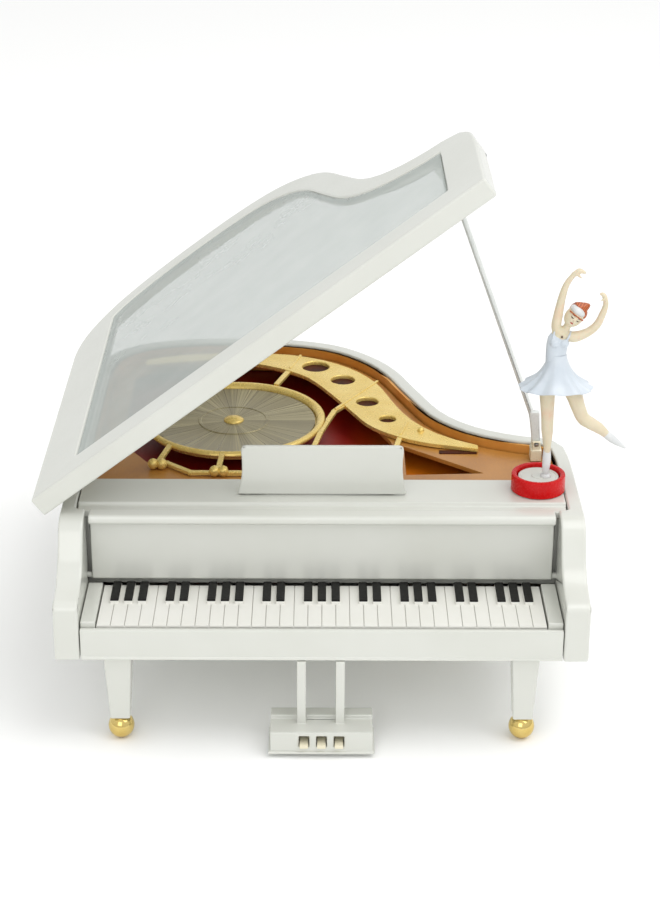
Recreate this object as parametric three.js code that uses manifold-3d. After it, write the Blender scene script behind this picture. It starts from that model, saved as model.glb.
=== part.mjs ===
// Musical jewellery box shaped as a small white grand piano, with a turning ballerina.
// Millimetres, +Z up. x = 0 is the middle of the keyboard, y = 0 the front of the arms and
// z = 0 the table, until the last group moves the origin under the middle of the whole.
import * as THREE from 'three';
import { mergeVertices } from 'three/addons/utils/BufferGeometryUtils.js';
import Module from 'manifold-3d';

const wasm = await Module();
wasm.setup();

// ---- driving dimensions ----
const HALF_WIDTH = 80; // case, outside
const WALL = 4.5; // rim wall
const GAP = 0.3; // between pieces that touch
const BASE_Z = 30; // underside of the case
const RIM_Z = 66; // top of the rim
const ARM_INNER = 72.5; // inside faces of the two arms
const ARM_BACK_Y = 31.5;
const DECK_FRONT_Y = 36;
const DECK_BACK_Y = 53;
const FLOOR_Z = 53.7; // sunken floor under the harp
const BOARD_Z = 60.7; // underside of the soundboard
const KEY_TOP_Z = 41;
const KEY_HALF = 67.4;
const KEYS = { front: 2.9, back: 28.3, count: 32 };
const SHARP_STEPS = [1, 1, 1, 0, 1, 1, 0]; // sharps after F G A, none after B, after C D, none after E
const FALL = { y: 30, z: 44, top: 66, lip: 25.5, half: 71.2 };
const LID = { x: -82.3, z: 62.2, open: 37.2, over: 2, bottom: 66.3, plate: 70.3, top: 72.7, front: 26 };
const LID_REACH = 1.026; // the lid stands a little further past the right wall than past the left
const DESK = { y: 43.2, z: 67.2, half: 26.3, top: 82.8, front: 40.6, back: 42 };
const POST = { x: 69.6, y: 77.5, z: 68.2, reach: 95.1, lean: 19 }; // lid prop
const DANCER = { x: 67.4, y: 46.3 };
const RING = { x: -30.3, y: 109.2, outer: 31.3, inner: 28.2 };
const LEG_X = 61.5;
const LEG_REAR = { x: -30, y: 150 };
const BALL = 4; // radius of a ball foot
const MODULE = 0.8; // drive gears
const BACKLASH = 0.2;
const TEETH = { barrel: 32, idler: 20, dancer: 16, pinion: 12 };
const TRAIN_ANGLE = 150; // direction from the dancer to the idler and on to the barrel, degrees
const CENTRE = { x: 2.64, y: 86.1 }; // middle of the finished box in plan

const rad = THREE.MathUtils.degToRad;
const paint = (color, roughness, metalness = 0) =>
  new THREE.MeshStandardMaterial({ color, roughness, metalness });

// ---- shapes ----
const box = (x0, x1, y0, y1, z0, z1) =>
  new THREE.BoxGeometry(x1 - x0, y1 - y0, z1 - z0)
    .translate((x0 + x1) / 2, (y0 + y1) / 2, (z0 + z1) / 2);

const post = (x, y, z0, z1, r, sides = 20) =>
  new THREE.CylinderGeometry(r, r, z1 - z0, sides).rotateX(Math.PI / 2).translate(x, y, (z0 + z1) / 2);

const barX = (x0, x1, y, z, r, sides = 16) =>
  new THREE.CylinderGeometry(r, r, x1 - x0, sides).rotateZ(Math.PI / 2).translate((x0 + x1) / 2, y, z);

const barY = (y0, y1, x, z, r, sides = 16) =>
  new THREE.CylinderGeometry(r, r, y1 - y0, sides).translate(x, (y0 + y1) / 2, z);

const slab = (shape, z0, z1) =>
  new THREE.ExtrudeGeometry(shape, { depth: z1 - z0, bevelEnabled: false, curveSegments: 8 })
    .translate(0, 0, z0);

// A profile drawn in y and z, run from x0 to x1.
function alongX(shape, x0, x1) {
  const geometry = new THREE.ExtrudeGeometry(shape, {
    depth: x1 - x0, bevelEnabled: false, curveSegments: 6 });
  const turn = new THREE.Matrix4().makeBasis(
    new THREE.Vector3(0, 1, 0), new THREE.Vector3(0, 0, 1), new THREE.Vector3(1, 0, 0));
  return geometry.applyMatrix4(turn).translate(x0, 0, 0);
}

// A profile drawn in x and z, run from y0 to y1.
function alongY(shape, y0, y1) {
  const geometry = new THREE.ExtrudeGeometry(shape, {
    depth: y1 - y0, bevelEnabled: false, curveSegments: 5 });
  return geometry.rotateX(Math.PI / 2).translate(0, y1, 0);
}

const outline = (points) => new THREE.Shape(points.map(([x, y]) => new THREE.Vector2(x, y)));

function turned(profile, x, y, sides = 40) {
  const points = profile.map(([r, z]) => new THREE.Vector2(r, z));
  return new THREE.LatheGeometry(points, sides).rotateX(Math.PI / 2).translate(x, y, 0);
}

// ---- joining and cutting ----
function solid(geometry) {
  const bare = geometry.clone();
  bare.deleteAttribute('normal');
  bare.deleteAttribute('uv');
  const merged = mergeVertices(bare, 1e-4);
  return new wasm.Manifold(new wasm.Mesh({
    numProp: 3,
    vertProperties: new Float32Array(merged.attributes.position.array),
    triVerts: new Uint32Array(merged.index.array),
  }));
}

function surface(manifold) {
  const mesh = manifold.getMesh();
  const geometry = new THREE.BufferGeometry();
  geometry.setAttribute('position', new THREE.BufferAttribute(mesh.vertProperties, 3));
  geometry.setIndex(new THREE.BufferAttribute(mesh.triVerts, 1));
  geometry.computeVertexNormals();
  return geometry;
}

const join = (...pieces) => surface(pieces.map(solid).reduce((sum, piece) => sum.add(piece)));

const cut = (piece, ...tools) =>
  surface(tools.map(solid).reduce((rest, tool) => rest.subtract(tool), solid(piece)));

const common = (a, b) => surface(solid(a).intersect(solid(b)));

// ---- plan of the case: straight sides, a bent right side and a rounded tail ----
const RIM_CURVE = new THREE.CatmullRomCurve3([
  [80, 45], [80, 60], [79.7, 72], [78.6, 80], [74.5, 85.4], [65.7, 87.8], [52.5, 94.2],
  [41.9, 105.3], [33.2, 126.1], [26.3, 145], [18.9, 157.2], [6.3, 169], [-9.2, 174.8],
  [-30, 176.6], [-50, 175.4], [-66, 170.5], [-76, 161], [-79.8, 148], [-80, 136], [-80, 118], [-80, 100],
].map(([x, y]) => new THREE.Vector3(x, y, 0)));
const RIM_STEPS = 54;
const RIM_POINTS = RIM_CURVE.getSpacedPoints(RIM_STEPS);

// The plan moved outwards by grow, or inwards where grow is negative, from yFront to the tail.
function plan(grow, yFront) {
  const moved = RIM_POINTS.map((point, i) => {
    const ahead = RIM_POINTS[Math.min(i + 1, RIM_STEPS)];
    const behind = RIM_POINTS[Math.max(i - 1, 0)];
    const run = ahead.clone().sub(behind).normalize();
    return new THREE.Vector2(point.x + run.y * grow, point.y - run.x * grow);
  });
  const clear = moved.filter((point) => RIM_POINTS.every((rim) =>
    Math.hypot(point.x - rim.x, point.y - rim.y) > Math.abs(grow) - 0.1));
  const side = HALF_WIDTH + grow;
  return [new THREE.Vector2(side, yFront), ...clear, new THREE.Vector2(-side, yFront)];
}

function planSlab(grow, yFront, z0, z1) {
  return slab(new THREE.Shape(plan(grow, yFront)), z0, z1);
}

// A band of wall between two offsets of the plan, open at the front.
function planBand(outer, inner, yFront, z0, z1) {
  return slab(new THREE.Shape([...plan(outer, yFront), ...plan(inner, yFront).reverse()]), z0, z1);
}

// ---- gears ----
function gear(teeth, x, y, z0, z1, toothAngle, bore) {
  const pitch = (teeth * MODULE) / 2;
  const step = (2 * Math.PI) / teeth;
  const root = pitch - 1.1 * MODULE;
  const tip = pitch + 0.75 * MODULE;
  const flank = [[root, -0.3], [tip, -0.12], [tip, 0.12], [root, 0.3]];
  const points = [];
  for (let tooth = 0; tooth < teeth; tooth += 1) {
    for (const [r, share] of flank) {
      const angle = rad(toothAngle) + (tooth + share) * step;
      points.push([r * Math.cos(angle), r * Math.sin(angle)]);
    }
  }
  const shape = outline(points);
  if (bore) shape.holes.push(new THREE.Path().absarc(0, 0, bore, 0, 2 * Math.PI, true));
  return slab(shape, z0, z1).translate(x, y, 0);
}

const train = (distance) => ({
  x: DANCER.x + distance * Math.cos(rad(TRAIN_ANGLE)),
  y: DANCER.y + distance * Math.sin(rad(TRAIN_ANGLE)) });
const idlerReach = (MODULE * (TEETH.dancer + TEETH.idler)) / 2 + BACKLASH;
const barrelReach = idlerReach + (MODULE * (TEETH.idler + TEETH.barrel)) / 2 + BACKLASH;
const IDLER = train(idlerReach);
const BARREL = train(barrelReach);

// ---- the assembly ----
const piano = new THREE.Group();
const lid = new THREE.Group();
lid.position.set(LID.x, 0, LID.z);
lid.rotation.y = -rad(LID.open);
piano.add(lid);

function node(name, geometry, material, parent = piano) {
  const mesh = new THREE.Mesh(geometry, material);
  mesh.name = name;
  parent.add(mesh);
}

const WHITE = [0xf1f2ee, 0.32];
const GOLD = [0xd8b95a, 0.22, 0.9];
const TAN = [0xb08a5a, 0.4];
const AMBER = [0xc8913e, 0.3, 0.5];
const STEEL = [0xb9bcc0, 0.35, 0.9];
const BRASS = [0xc9a85a, 0.35, 0.9];

// Case: one moulding of the bent rim wall and the two scrolled arms.
function caseBody() {
  const arm = new THREE.Shape();
  arm.moveTo(0.5, BASE_Z);
  arm.lineTo(0.9, 46);
  arm.quadraticCurveTo(1.2, 48.2, 4, 48.7);
  arm.lineTo(8, 49.4);
  arm.bezierCurveTo(17, 50.6, 18.5, 57, 20.8, 61);
  arm.quadraticCurveTo(23, 65.6, 28, RIM_Z);
  arm.lineTo(ARM_BACK_Y, RIM_Z);
  arm.lineTo(ARM_BACK_Y, BASE_Z);
  const walls = planBand(0, -WALL, ARM_BACK_Y - 1, BASE_Z, RIM_Z);
  const arms = [alongX(arm, ARM_INNER, HALF_WIDTH), alongX(arm, -HALF_WIDTH, -ARM_INNER)];
  const pegHoles = barX(-ARM_INNER - 2, ARM_INNER + 2, FALL.y, FALL.z, 1.3);
  return cut(join(walls, ...arms), pegHoles);
}

// Underside cover: a plate inside the rim with holes for the winding shaft and the screws.
const COVER_SCREWS = {
  front_left: [-64, 20], front_right: [64, 20], rear_left: [-60, 158], rear_right: [8, 158] };

function bottomCover() {
  const back = planSlab(-WALL - GAP, ARM_BACK_Y + GAP, BASE_Z + 0.4, BASE_Z + 2.4);
  const half = ARM_INNER - GAP;
  const front = box(-half, half, 3, ARM_BACK_Y + 5, BASE_Z + 0.4, BASE_Z + 2.4);
  const shaft = post(BARREL.x, BARREL.y, BASE_Z - 1, BASE_Z + 4, 3);
  return cut(join(back, front), shaft);
}

const coverScrew = ([x, y]) => post(x, y, BASE_Z - 1, BASE_Z + 0.1, 2.2, 12);

// Keyslip: front rail with a rounded bead at its foot and the shelf that carries the keys.
function keySlip() {
  const half = ARM_INNER - GAP;
  const rail = outline([[0.9, 31.2], [0.5, 30.9], [0.5, 30.3], [2.6, 30.3], [2.6, 36],
    [30, 36], [30, 38], [2.6, 38], [2.6, 40], [2.3, 40.3], [1.2, 40.3], [0.9, 40]]);
  const shelf = box(-half, half, 0, 40, BASE_Z + 2.7, 50);
  return common(join(alongX(rail, -half, half)), join(shelf, box(-half, half, 0, 2.7, 30, 50)));
}

function keyboard() {
  const pitch = (2 * KEY_HALF) / KEYS.count;
  const pieces = [box(-KEY_HALF, KEY_HALF, KEYS.front, KEYS.back, 38.3, KEY_TOP_Z)];
  for (let key = 1; key < KEYS.count; key += 1) {
    const x = -KEY_HALF + key * pitch;
    if (SHARP_STEPS[(key - 1) % SHARP_STEPS.length]) {
      pieces.push(box(x - 1.25, x + 1.25, 16.5, KEYS.back, KEY_TOP_Z - 0.5, KEY_TOP_Z + 1.5));
    }
  }
  return join(...pieces);
}

const keyBlock = (side) => {
  const [near, far] = [KEY_HALF + GAP, ARM_INNER - GAP];
  return side > 0 ? box(near, far, 2.9, 28.3, 38.3, 42) : box(-far, -near, 2.9, 28.3, 38.3, 42);
};

// Fallboard: an upright panel with a forward lip, turning on a peg at each lower end.
function fallboard() {
  const panel = outline([[29, 43], [29.3, 42.8], [31, 42.8], [31, FALL.top], [26.2, FALL.top],
    [FALL.lip, 65.3], [FALL.lip, 63.6], [26, 63], [29, 63]]);
  const body = alongX(panel, -FALL.half, FALL.half);
  const pegs = barX(-ARM_INNER - 1.6, ARM_INNER + 1.6, FALL.y, FALL.z, 0.95, 12);
  return join(body, pegs);
}

// Front deck: the white ledge behind the fallboard, its front wall, and the desk's two lugs.
const DESK_EAR = [18, 20];
const DESK_LUG = [20.4, 22.4];

function frontDeck() {
  const half = HALF_WIDTH - WALL - GAP;
  const section = outline([[33.6, 39], [33.6, 62.4], [32.3, 62.4], [32.3, 64.6], [35.4, 64.9],
    [DECK_FRONT_Y, RIM_Z], [DECK_BACK_Y, RIM_Z], [DECK_BACK_Y, 63], [36, 63], [36, 39]]);
  const lugs = [1, -1].flatMap((side) => {
    const [x0, x1] = DESK_LUG.map((x) => side * x).sort((a, b) => a - b);
    return [barX(x0, x1, DESK.y, DESK.z, 1.1), box(x0, x1, DESK.y - 1, DESK.y + 1, 65.5, DESK.z)];
  });
  const holes = barX(-23, 23, DESK.y, DESK.z, 0.75);
  const spindleHole = post(DANCER.x, DANCER.y, 60, 70, 1.7);
  return cut(join(alongX(section, -half, half), ...lugs), holes, spindleHole);
}

// Music desk: waisted sides and rounded top corners, with ears and pins behind its foot.
function musicDesk() {
  const { half, top, front, back } = DESK;
  const face = new THREE.Shape();
  face.moveTo(-half, RIM_Z + 0.4);
  face.lineTo(half, RIM_Z + 0.4);
  face.quadraticCurveTo(half - 2.2, 73, half - 1.2, top - 2);
  face.quadraticCurveTo(half - 1.2, top, half - 3, top);
  face.lineTo(3 - half, top);
  face.quadraticCurveTo(1.2 - half, top, 1.2 - half, top - 2);
  face.quadraticCurveTo(2.2 - half, 73, -half, RIM_Z + 0.4);
  const panel = alongY(face, front, back);
  const ears = [1, -1].flatMap((side) => {
    const [x0, x1] = DESK_EAR.map((x) => side * x).sort((a, b) => a - b);
    const [p0, p1] = [side * 19, side * 22.2].sort((a, b) => a - b);
    return [barX(x0, x1, DESK.y, DESK.z, 0.8), box(x0, x1, back - 0.5, DESK.y, 66.5, 67.9),
      barX(p0, p1, DESK.y, DESK.z, 0.45, 10)];
  });
  return join(panel, ...ears);
}

// ---- dancer ----
// A limb: an eight-sided tube through stations of x, y, z and radius.
function limb(...stations) {
  const last = stations.length - 1;
  const place = ([x, y, z]) => new THREE.Vector3(x, y, z);
  const tube = new THREE.CylinderGeometry(1, 1, 1, 8, last);
  const spots = tube.attributes.position;
  for (let i = 0; i < spots.count; i += 1) {
    const k = Math.round((spots.getY(i) + 0.5) * last);
    const run = place(stations[Math.min(k + 1, last)]).sub(place(stations[Math.max(k - 1, 0)]));
    const turn = new THREE.Quaternion().setFromUnitVectors(
      new THREE.Vector3(0, 1, 0), run.normalize());
    const spoke = new THREE.Vector3(spots.getX(i), 0, spots.getZ(i))
      .multiplyScalar(stations[k][3]).applyQuaternion(turn).add(place(stations[k]));
    spots.setXYZ(i, spoke.x, spoke.y, spoke.z);
  }
  return tube;
}

function dancerFigure() {
  const y = DANCER.y;
  const standing = limb([69.2, y - 0.5, 71, 0.85], [69.8, y, 80, 1.05], [69.7, y, 87, 1.55],
    [69.8, y, 99, 1.8], [70.6, y, 104, 2.4]);
  const raised = limb([94, y + 1.5, 79.6, 0.6], [88.6, y + 1.2, 84, 0.95], [84, y + 1, 87.4, 1.4],
    [80, y + 0.8, 90, 1.6], [75.5, y + 0.5, 98.5, 2], [72.4, y, 104, 2.4]);
  const trunk = limb([71, y, 100.5, 2.6], [71.2, y, 104, 3], [71.4, y, 110.5, 2.2], [72.6, y, 117, 2.9],
    [73.8, y, 119.6, 1.4], [75.9, y, 123.4, 1.3]);
  const head = new THREE.SphereGeometry(2.7, 10, 8).translate(76.2, y, 124.3);
  const leftArm = limb([71, y, 118, 1.3], [69, y, 127.6, 1.1], [72, y, 133.4, 0.9],
    [76.4, y, 137.6, 0.75]);
  const rightArm = limb([74.2, y, 117.6, 1.3], [84.6, y, 122.8, 1.1], [86.3, y, 128.4, 0.9],
    [84.2, y, 131.4, 0.75]);
  return join(standing, raised, trunk, head, leftArm, rightArm);
}

// Skirt: a thin flared cone round the hips, open where the body passes.
const dancerSkirt = () => turned([[10.8, 99.2], [11.3, 99.8], [8.3, 103.6], [4, 109.6],
  [3.4, 109.2], [7.6, 103], [10.8, 99.2]], 71.6, DANCER.y, 24);

function dancerHair() {
  const cap = new THREE.SphereGeometry(3.05, 14, 10).scale(1, 1, 0.9).translate(77.2, DANCER.y, 125.8);
  const head = new THREE.SphereGeometry(2.82, 14, 10).translate(76.2, DANCER.y, 124.6);
  return cut(cap, head, box(70, 76.6, DANCER.y - 5, DANCER.y + 5, 118, 125));
}

function dancerSpindle() {
  const shaft = post(DANCER.x, DANCER.y, 44, 68.6, 1.3);
  const wheel = gear(TEETH.dancer, DANCER.x, DANCER.y, 50.3, 52.3, TRAIN_ANGLE, 0);
  return join(shaft, wheel);
}

// ---- movement ----
const CYLINDER_Z = 44.4;
const CROWN = { inner: 11.2, outer: 12.8, z0: 49, z1: 50.4 };

function springBarrel() {
  const toIdler = TRAIN_ANGLE + 180;
  const wheel = gear(TEETH.barrel, 0, 0, 50.3, 52.3, toIdler, 1.9);
  const housing = turned([[1.9, 36], [10.4, 36], [10.4, 48], [9.2, 50.5], [1.9, 50.5], [1.9, 36]], 0, 0, 36);
  const crown = [];
  const { inner, outer, z0, z1 } = CROWN;
  for (let tooth = 0; tooth < TEETH.barrel; tooth += 1) {
    const block = box(inner - 0.4, outer - 0.4, -0.35, 0.35, z0, z1);
    crown.push(block.rotateZ((2 * Math.PI * (tooth + 0.5)) / TEETH.barrel));
  }
  return join(wheel, housing, ...crown).translate(BARREL.x, BARREL.y, 0);
}

function pinCylinder() {
  const { x, y } = BARREL;
  const far = x - 33;
  const near = x - 14;
  const drum = barX(far, near, y, CYLINDER_Z, 5.6, 28);
  const shaft = barX(far - 4, x - 11.2, y, CYLINDER_Z, 0.9, 12);
  const pitch = (TEETH.pinion * MODULE) / 2;
  const leaves = [];
  for (let tooth = 0; tooth < TEETH.pinion; tooth += 1) {
    const leaf = box(x - 12.6, x - 11.6, -0.3, 0.3, 0, pitch + 0.2);
    leaf.rotateX((2 * Math.PI * tooth) / TEETH.pinion);
    leaves.push(leaf.translate(0, y, CYLINDER_Z));
  }
  const hub = barX(x - 13.2, x - 11.2, y, CYLINDER_Z, pitch - 1.1, 16);
  return join(drum, shaft, hub, ...leaves);
}

const PLATE = { x0: -3, x1: 49, y0: 46, y1: 88, z0: 33, z1: 34.6 };

function movementPlate() {
  const { x0, x1, y0, y1, z0, z1 } = PLATE;
  return cut(box(x0, x1, y0, y1, z0, z1), post(BARREL.x, BARREL.y, 32, 36, 2.4));
}

// One bracket for the far end of the cylinder shaft, bored with running clearance.
function cylinderBracket() {
  const x = BARREL.x - 35.6;
  const cheek = box(x - 1.5, x + 1, BARREL.y - 3, BARREL.y + 3, PLATE.z1 + GAP, 47);
  return cut(cheek, barX(x - 3, x + 3, BARREL.y, CYLINDER_Z, 1.2, 12));
}

function comb() {
  const x0 = BARREL.x - 33;
  const plate = box(x0, x0 + 19, 47, BARREL.y - 6.4, CYLINDER_Z, CYLINDER_Z + 0.9);
  const slots = [];
  for (let slot = 1; slot < 18; slot += 1) {
    const x = x0 + slot * (19 / 18);
    slots.push(box(x - 0.12, x + 0.12, 52.5, 60, CYLINDER_Z - 1, CYLINDER_Z + 2));
  }
  return cut(plate, ...slots);
}

const combBed = () => box(BARREL.x - 33, BARREL.x - 14, 47, 51.5, PLATE.z1 + GAP, CYLINDER_Z - GAP);

const combScrew = (dx) =>
  post(BARREL.x + dx, 49.4, CYLINDER_Z + 0.9 + GAP, CYLINDER_Z + 2.4, 1.6, 12);

const FAN = { x: 8, y: 79.5 };

function governor() {
  const fan = box(FAN.x - 4.6, FAN.x + 4.6, FAN.y - 0.5, FAN.y + 0.5, 39, 45.5);
  const arbor = post(FAN.x, FAN.y, 35.4, 49.6, 0.6, 10);
  return join(fan, arbor, post(FAN.x, FAN.y, 36, 38.2, 1.6, 12));
}

function governorCage() {
  const { x, y } = FAN;
  const feet = [-7, 7].map((dx) => box(x + dx - 0.8, x + dx + 0.8, y - 2, y + 2, PLATE.z1 + GAP, 48.4));
  const bridge = box(x - 7.8, x + 7.8, y - 2, y + 2, 47.2, 48.6);
  return cut(join(...feet, bridge), post(x, y, 46, 50, 0.9, 12));
}

// Winding arbor through the barrel, and the flat key that threads on to its foot.
const windingArbor = () => join(post(BARREL.x, BARREL.y, 26.4, 49.4, 1.5),
  post(BARREL.x, BARREL.y, 35, 35.7, 3.4));

function windingKey() {
  const { x, y } = BARREL;
  const wing = new THREE.Shape();
  wing.moveTo(-2, 24.5);
  wing.lineTo(-2, 21.5);
  wing.bezierCurveTo(-9, 22.5, -9.5, 12.5, -4, 12.5);
  wing.bezierCurveTo(-1.5, 12.5, -1, 14, 0, 14);
  wing.bezierCurveTo(1, 14, 1.5, 12.5, 4, 12.5);
  wing.bezierCurveTo(9.5, 12.5, 9, 22.5, 2, 21.5);
  wing.lineTo(2, 24.5);
  const blade = alongY(wing, -0.9, 0.9).translate(x, y, 0);
  return cut(join(blade, post(x, y, 20, 28.6, 2.6)), post(x, y, 24, 30, 1.8));
}

// ---- inside of the case ----
const floorTray = () => cut(planSlab(-WALL - GAP, DECK_FRONT_Y + 0.4, FLOOR_Z, FLOOR_Z + 1.4),
  post(DANCER.x, DANCER.y, 50, 60, 1.8));

const innerTrim = () => cut(
  planSlab(-WALL - GAP, DECK_BACK_Y + 2, FLOOR_Z + 1.7, RIM_Z - 0.8),
  planSlab(-WALL - 1.3, DECK_BACK_Y, FLOOR_Z, RIM_Z));

// Soundboard: a tan sheet level with the deck's foot, opened over the sunken floor.
const WELL = [[-67, 84], [-61.8, 81.4], [-57.2, 74], [-53, 74], [-42.5, 65.6], [24, 65.6], [24, 88],
  [19, 100], [16, 116], [9, 133], [-2, 147], [-18, 158], [-40, 163], [-58, 160], [-67, 148]];
const WEDGE = [[27, 64.6], [52, 66], [27, 87]];

function soundboard() {
  const sheet = planSlab(-WALL - 1.7, DECK_BACK_Y + GAP, BOARD_Z, BOARD_Z + 1.5);
  return cut(sheet, slab(outline(WELL), 50, 70), slab(outline(WEDGE), 50, 70));
}

// Harp plate: the gold casting along the bent side, its four holes, its ribs and struts.
const HARP_HOLES = [[-2.5, 154, 5.2], [7.2, 141.4, 4.6], [15.5, 121.5, 4.2], [22.1, 106.4, 3.2]];
const HARP_Z = BOARD_Z + 1.8;

function strut(points, width, z0, z1) {
  return points.slice(1).map((end, i) => {
    const [a, b] = [points[i], end];
    const run = Math.hypot(b[0] - a[0], b[1] - a[1]);
    const bar = box(-width / 2, run + width / 2, -width / 2, width / 2, z0, z1);
    return bar.rotateZ(Math.atan2(b[1] - a[1], b[0] - a[0])).translate(a[0], a[1], 0);
  });
}

function harpPlate() {
  const body = new THREE.Shape();
  body.moveTo(51.3, 84.6);
  body.lineTo(51.3, 81.6);
  body.lineTo(37, 85.4);
  body.bezierCurveTo(26, 89, 17, 97, 13.4, 105);
  body.bezierCurveTo(8, 117, 1, 134, -5, 143);
  body.bezierCurveTo(-13, 153, -27, 159.5, -42, 160);
  body.lineTo(-64, 155);
  body.lineTo(-64, 160);
  body.bezierCurveTo(-50, 168, -26, 168, -12, 165.5);
  body.bezierCurveTo(6, 160, 16, 148, 21, 133);
  body.bezierCurveTo(27, 112, 30, 96, 51.3, 84.6);
  const plate = slab(body, HARP_Z, HARP_Z + 1.4);
  const holes = HARP_HOLES.map(([x, y, r]) => post(x, y, 60, 68, r, 16));
  const bars = [
    ...strut([[-17.4, 134.5], [-11.8, 152]], 2, HARP_Z, HARP_Z + 1.2),
    ...strut([[-3.4, 63.6], [-2.8, 84], [-0.6, 96], [1.9, 106], [4.2, 114.4], [9.6, 122]], 1.8,
      HARP_Z, HARP_Z + 1.2),
    ...strut([[-50.5, 84.2], [-53.4, 70.4], [-50.6, 70.9], [-42.3, 63.6], [24.4, 63.6], [24.4, 84],
      [26.2, 94]], 1.8, HARP_Z, HARP_Z + 1.2),
    ...strut([[-33.7, 63.6], [-32.8, 78.4]], 1.8, HARP_Z, HARP_Z + 1.2),
  ];
  const ringSeat = post(RING.x, RING.y, 60, 68, RING.outer + GAP, 48);
  return cut(join(cut(plate, ...holes), ...bars, ...harpStuds()), ringSeat);
}

// Studs cast on the harp: two pairs of beads at the front and one bead near the tongue.
const harpStuds = () => [
  ...[[-53.3, 68.9], [-33.2, 63.5]].flatMap(([x, y]) => [-1.4, 1.4].map((dx) =>
    new THREE.SphereGeometry(1.8, 8, 6).translate(x + dx, y - 0.4, HARP_Z + 1.6))),
  new THREE.SphereGeometry(1.2, 8, 6).translate(32.9, 96, HARP_Z + 1.6)];

const rosetteRing = () => turned([[27, 60.4], [RING.outer, 60.4], [RING.outer, 62.8],
  [30.5, 63.6], [29.1, 63.6], [RING.inner, 62.8], [RING.inner, 61], [27, 61], [27, 60.4]],
RING.x, RING.y, 40);

const rosetteDisc = () => turned([[0, 61.3], [27.8, 61.3], [27.8, 62], [7, 62], [0, 63.4]],
  RING.x, RING.y, 48);

// ---- lid, modelled shut and turned open by its group ----
const shut = (geometry) => geometry.translate(-LID.x, 0, -LID.z);

const clip = (x0, x1, y0, y1) => box(x0, x1, y0, y1, 60, 80);

function lidWindowPlan(edge) {
  return common(planSlab(-9 + edge, 30, 60, 80), clip(-65 - edge, 68.5 + edge, 40 - edge, 170));
}

function lidFrame() {
  const outer = planSlab(LID.over, LID.front, LID.bottom, LID.top);
  const hollow = planSlab(0, LID.front + 2, LID.bottom - 1, LID.plate);
  const seat = common(lidWindowPlan(1.5), box(-90, 90, 0, 190, LID.plate + 0.8, 80));
  return shut(cut(outer, hollow, lidWindowPlan(0), seat)).scale(LID_REACH, 1, 1);
}

const lidWindow = () => shut(common(lidWindowPlan(1.2),
  box(-90, 90, 0, 190, LID.plate + 0.8 + GAP, LID.top - 0.3))).scale(LID_REACH, 1, 1);

// Catch: a wedge under the lid with its face square to the prop.
function lidCatch() {
  const wedge = outline([[69.6, 70], [77, 70], [77, 64.6], [70.3, 66.5], [69.6, 66.7]]);
  return shut(alongY(wedge, 74, 80));
}

// ---- lid hinges: two on the outer left wall, three knuckles each ----
const HINGES = { front: 48, rear: 108 };
const KNUCKLE = { r: 1.7, bore: 1.1, long: 6, gap: 0.4 };

function caseLeaf(y) {
  const { r, bore, long, gap } = KNUCKLE;
  const third = y + 2 * (long + gap);
  const leaf = box(-80.95, -80 - GAP, y, third + long, LID.z - 9, LID.z);
  const knuckles = [y, third].map((start) => barY(start, start + long, LID.x, LID.z, r));
  const clear = box(-83, -80.5, y + long, third, LID.z - 2.3, LID.z + 1);
  return cut(join(leaf, ...knuckles), clear, barY(y - 1, third + long + 1, LID.x, LID.z, bore));
}

function lidLeaf(y) {
  const { r, bore, long, gap } = KNUCKLE;
  const start = y + long + gap;
  const leaf = box(-82 - GAP - 0.6, -82 - GAP, start, start + long, LID.z, LID.z + 9);
  return shut(cut(join(leaf, barY(start, start + long, LID.x, LID.z, r)),
    barY(start - 1, start + long + 1, LID.x, LID.z, bore)));
}

const hingePin = (y) => barY(y + 0.2, y + 3 * KNUCKLE.long + 2 * KNUCKLE.gap - 0.2, LID.x, LID.z, 0.8, 12);

// ---- lid prop: a thin rod with a broad foot, pinned in a forked bracket ----
function propStick() {
  const { x, y, z, reach, lean } = POST;
  const tip = [x - reach * Math.sin(rad(lean)), z + reach * Math.cos(rad(lean))];
  const foot = outline([[x - 1.3, z], [x, z - 1.4], [x + 1.3, z], [x + 0.7, z + 10.8], [x - 2.6, z + 10.8]]);
  const root = alongY(foot, y - 1.1, y + 1.1);
  const start = new THREE.Vector3(x - 1.6, y, z + 9.5);
  const end = new THREE.Vector3(tip[0], y, tip[1]);
  const run = end.clone().sub(start);
  const rod = new THREE.CylinderGeometry(0.9, 0.95, run.length(), 12);
  rod.applyQuaternion(new THREE.Quaternion().setFromUnitVectors(
    new THREE.Vector3(0, 1, 0), run.clone().normalize()));
  rod.translate(...start.add(end).multiplyScalar(0.5).toArray());
  return cut(join(root, rod), barY(y - 3, y + 3, x, z, 0.8, 12));
}

function propBracket() {
  const { x, y, z } = POST;
  const base = box(x - 1.8, x + 1.8, y - 3, y + 2.1, BOARD_Z + 1.8, 66.4);
  const ears = [-2, 2].map((dy) => box(x - 1.3, x + 1.3, y + dy - 0.6, y + dy + 0.6, 66.2, z + 1.1));
  return cut(join(base, ...ears), barY(y - 5, y + 5, x, z, 0.8, 12));
}

const propPin = () => barY(POST.y - 2.9, POST.y + 2.9, POST.x, POST.z, 0.5, 10);

// ---- legs, feet and pedal lyre ----
function leg(x, y) {
  const tall = BASE_Z - 0.3 - 7.6;
  const shaft = new THREE.CylinderGeometry(8.4 / Math.SQRT2, 6 / Math.SQRT2, tall, 4, 1)
    .rotateY(Math.PI / 4).rotateX(Math.PI / 2);
  return shaft.translate(x, y, 7.6 + tall / 2);
}

function ballFoot(x, y) {
  const profile = [[0, 0], [1.4, 0]];
  for (let step = 0; step < 7; step += 1) {
    const angle = rad(-62 + step * 20);
    profile.push([BALL * Math.cos(angle), BALL + BALL * Math.sin(angle)]);
  }
  profile.push([0, 7.4]);
  return turned(profile, x, y, 16);
}

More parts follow.
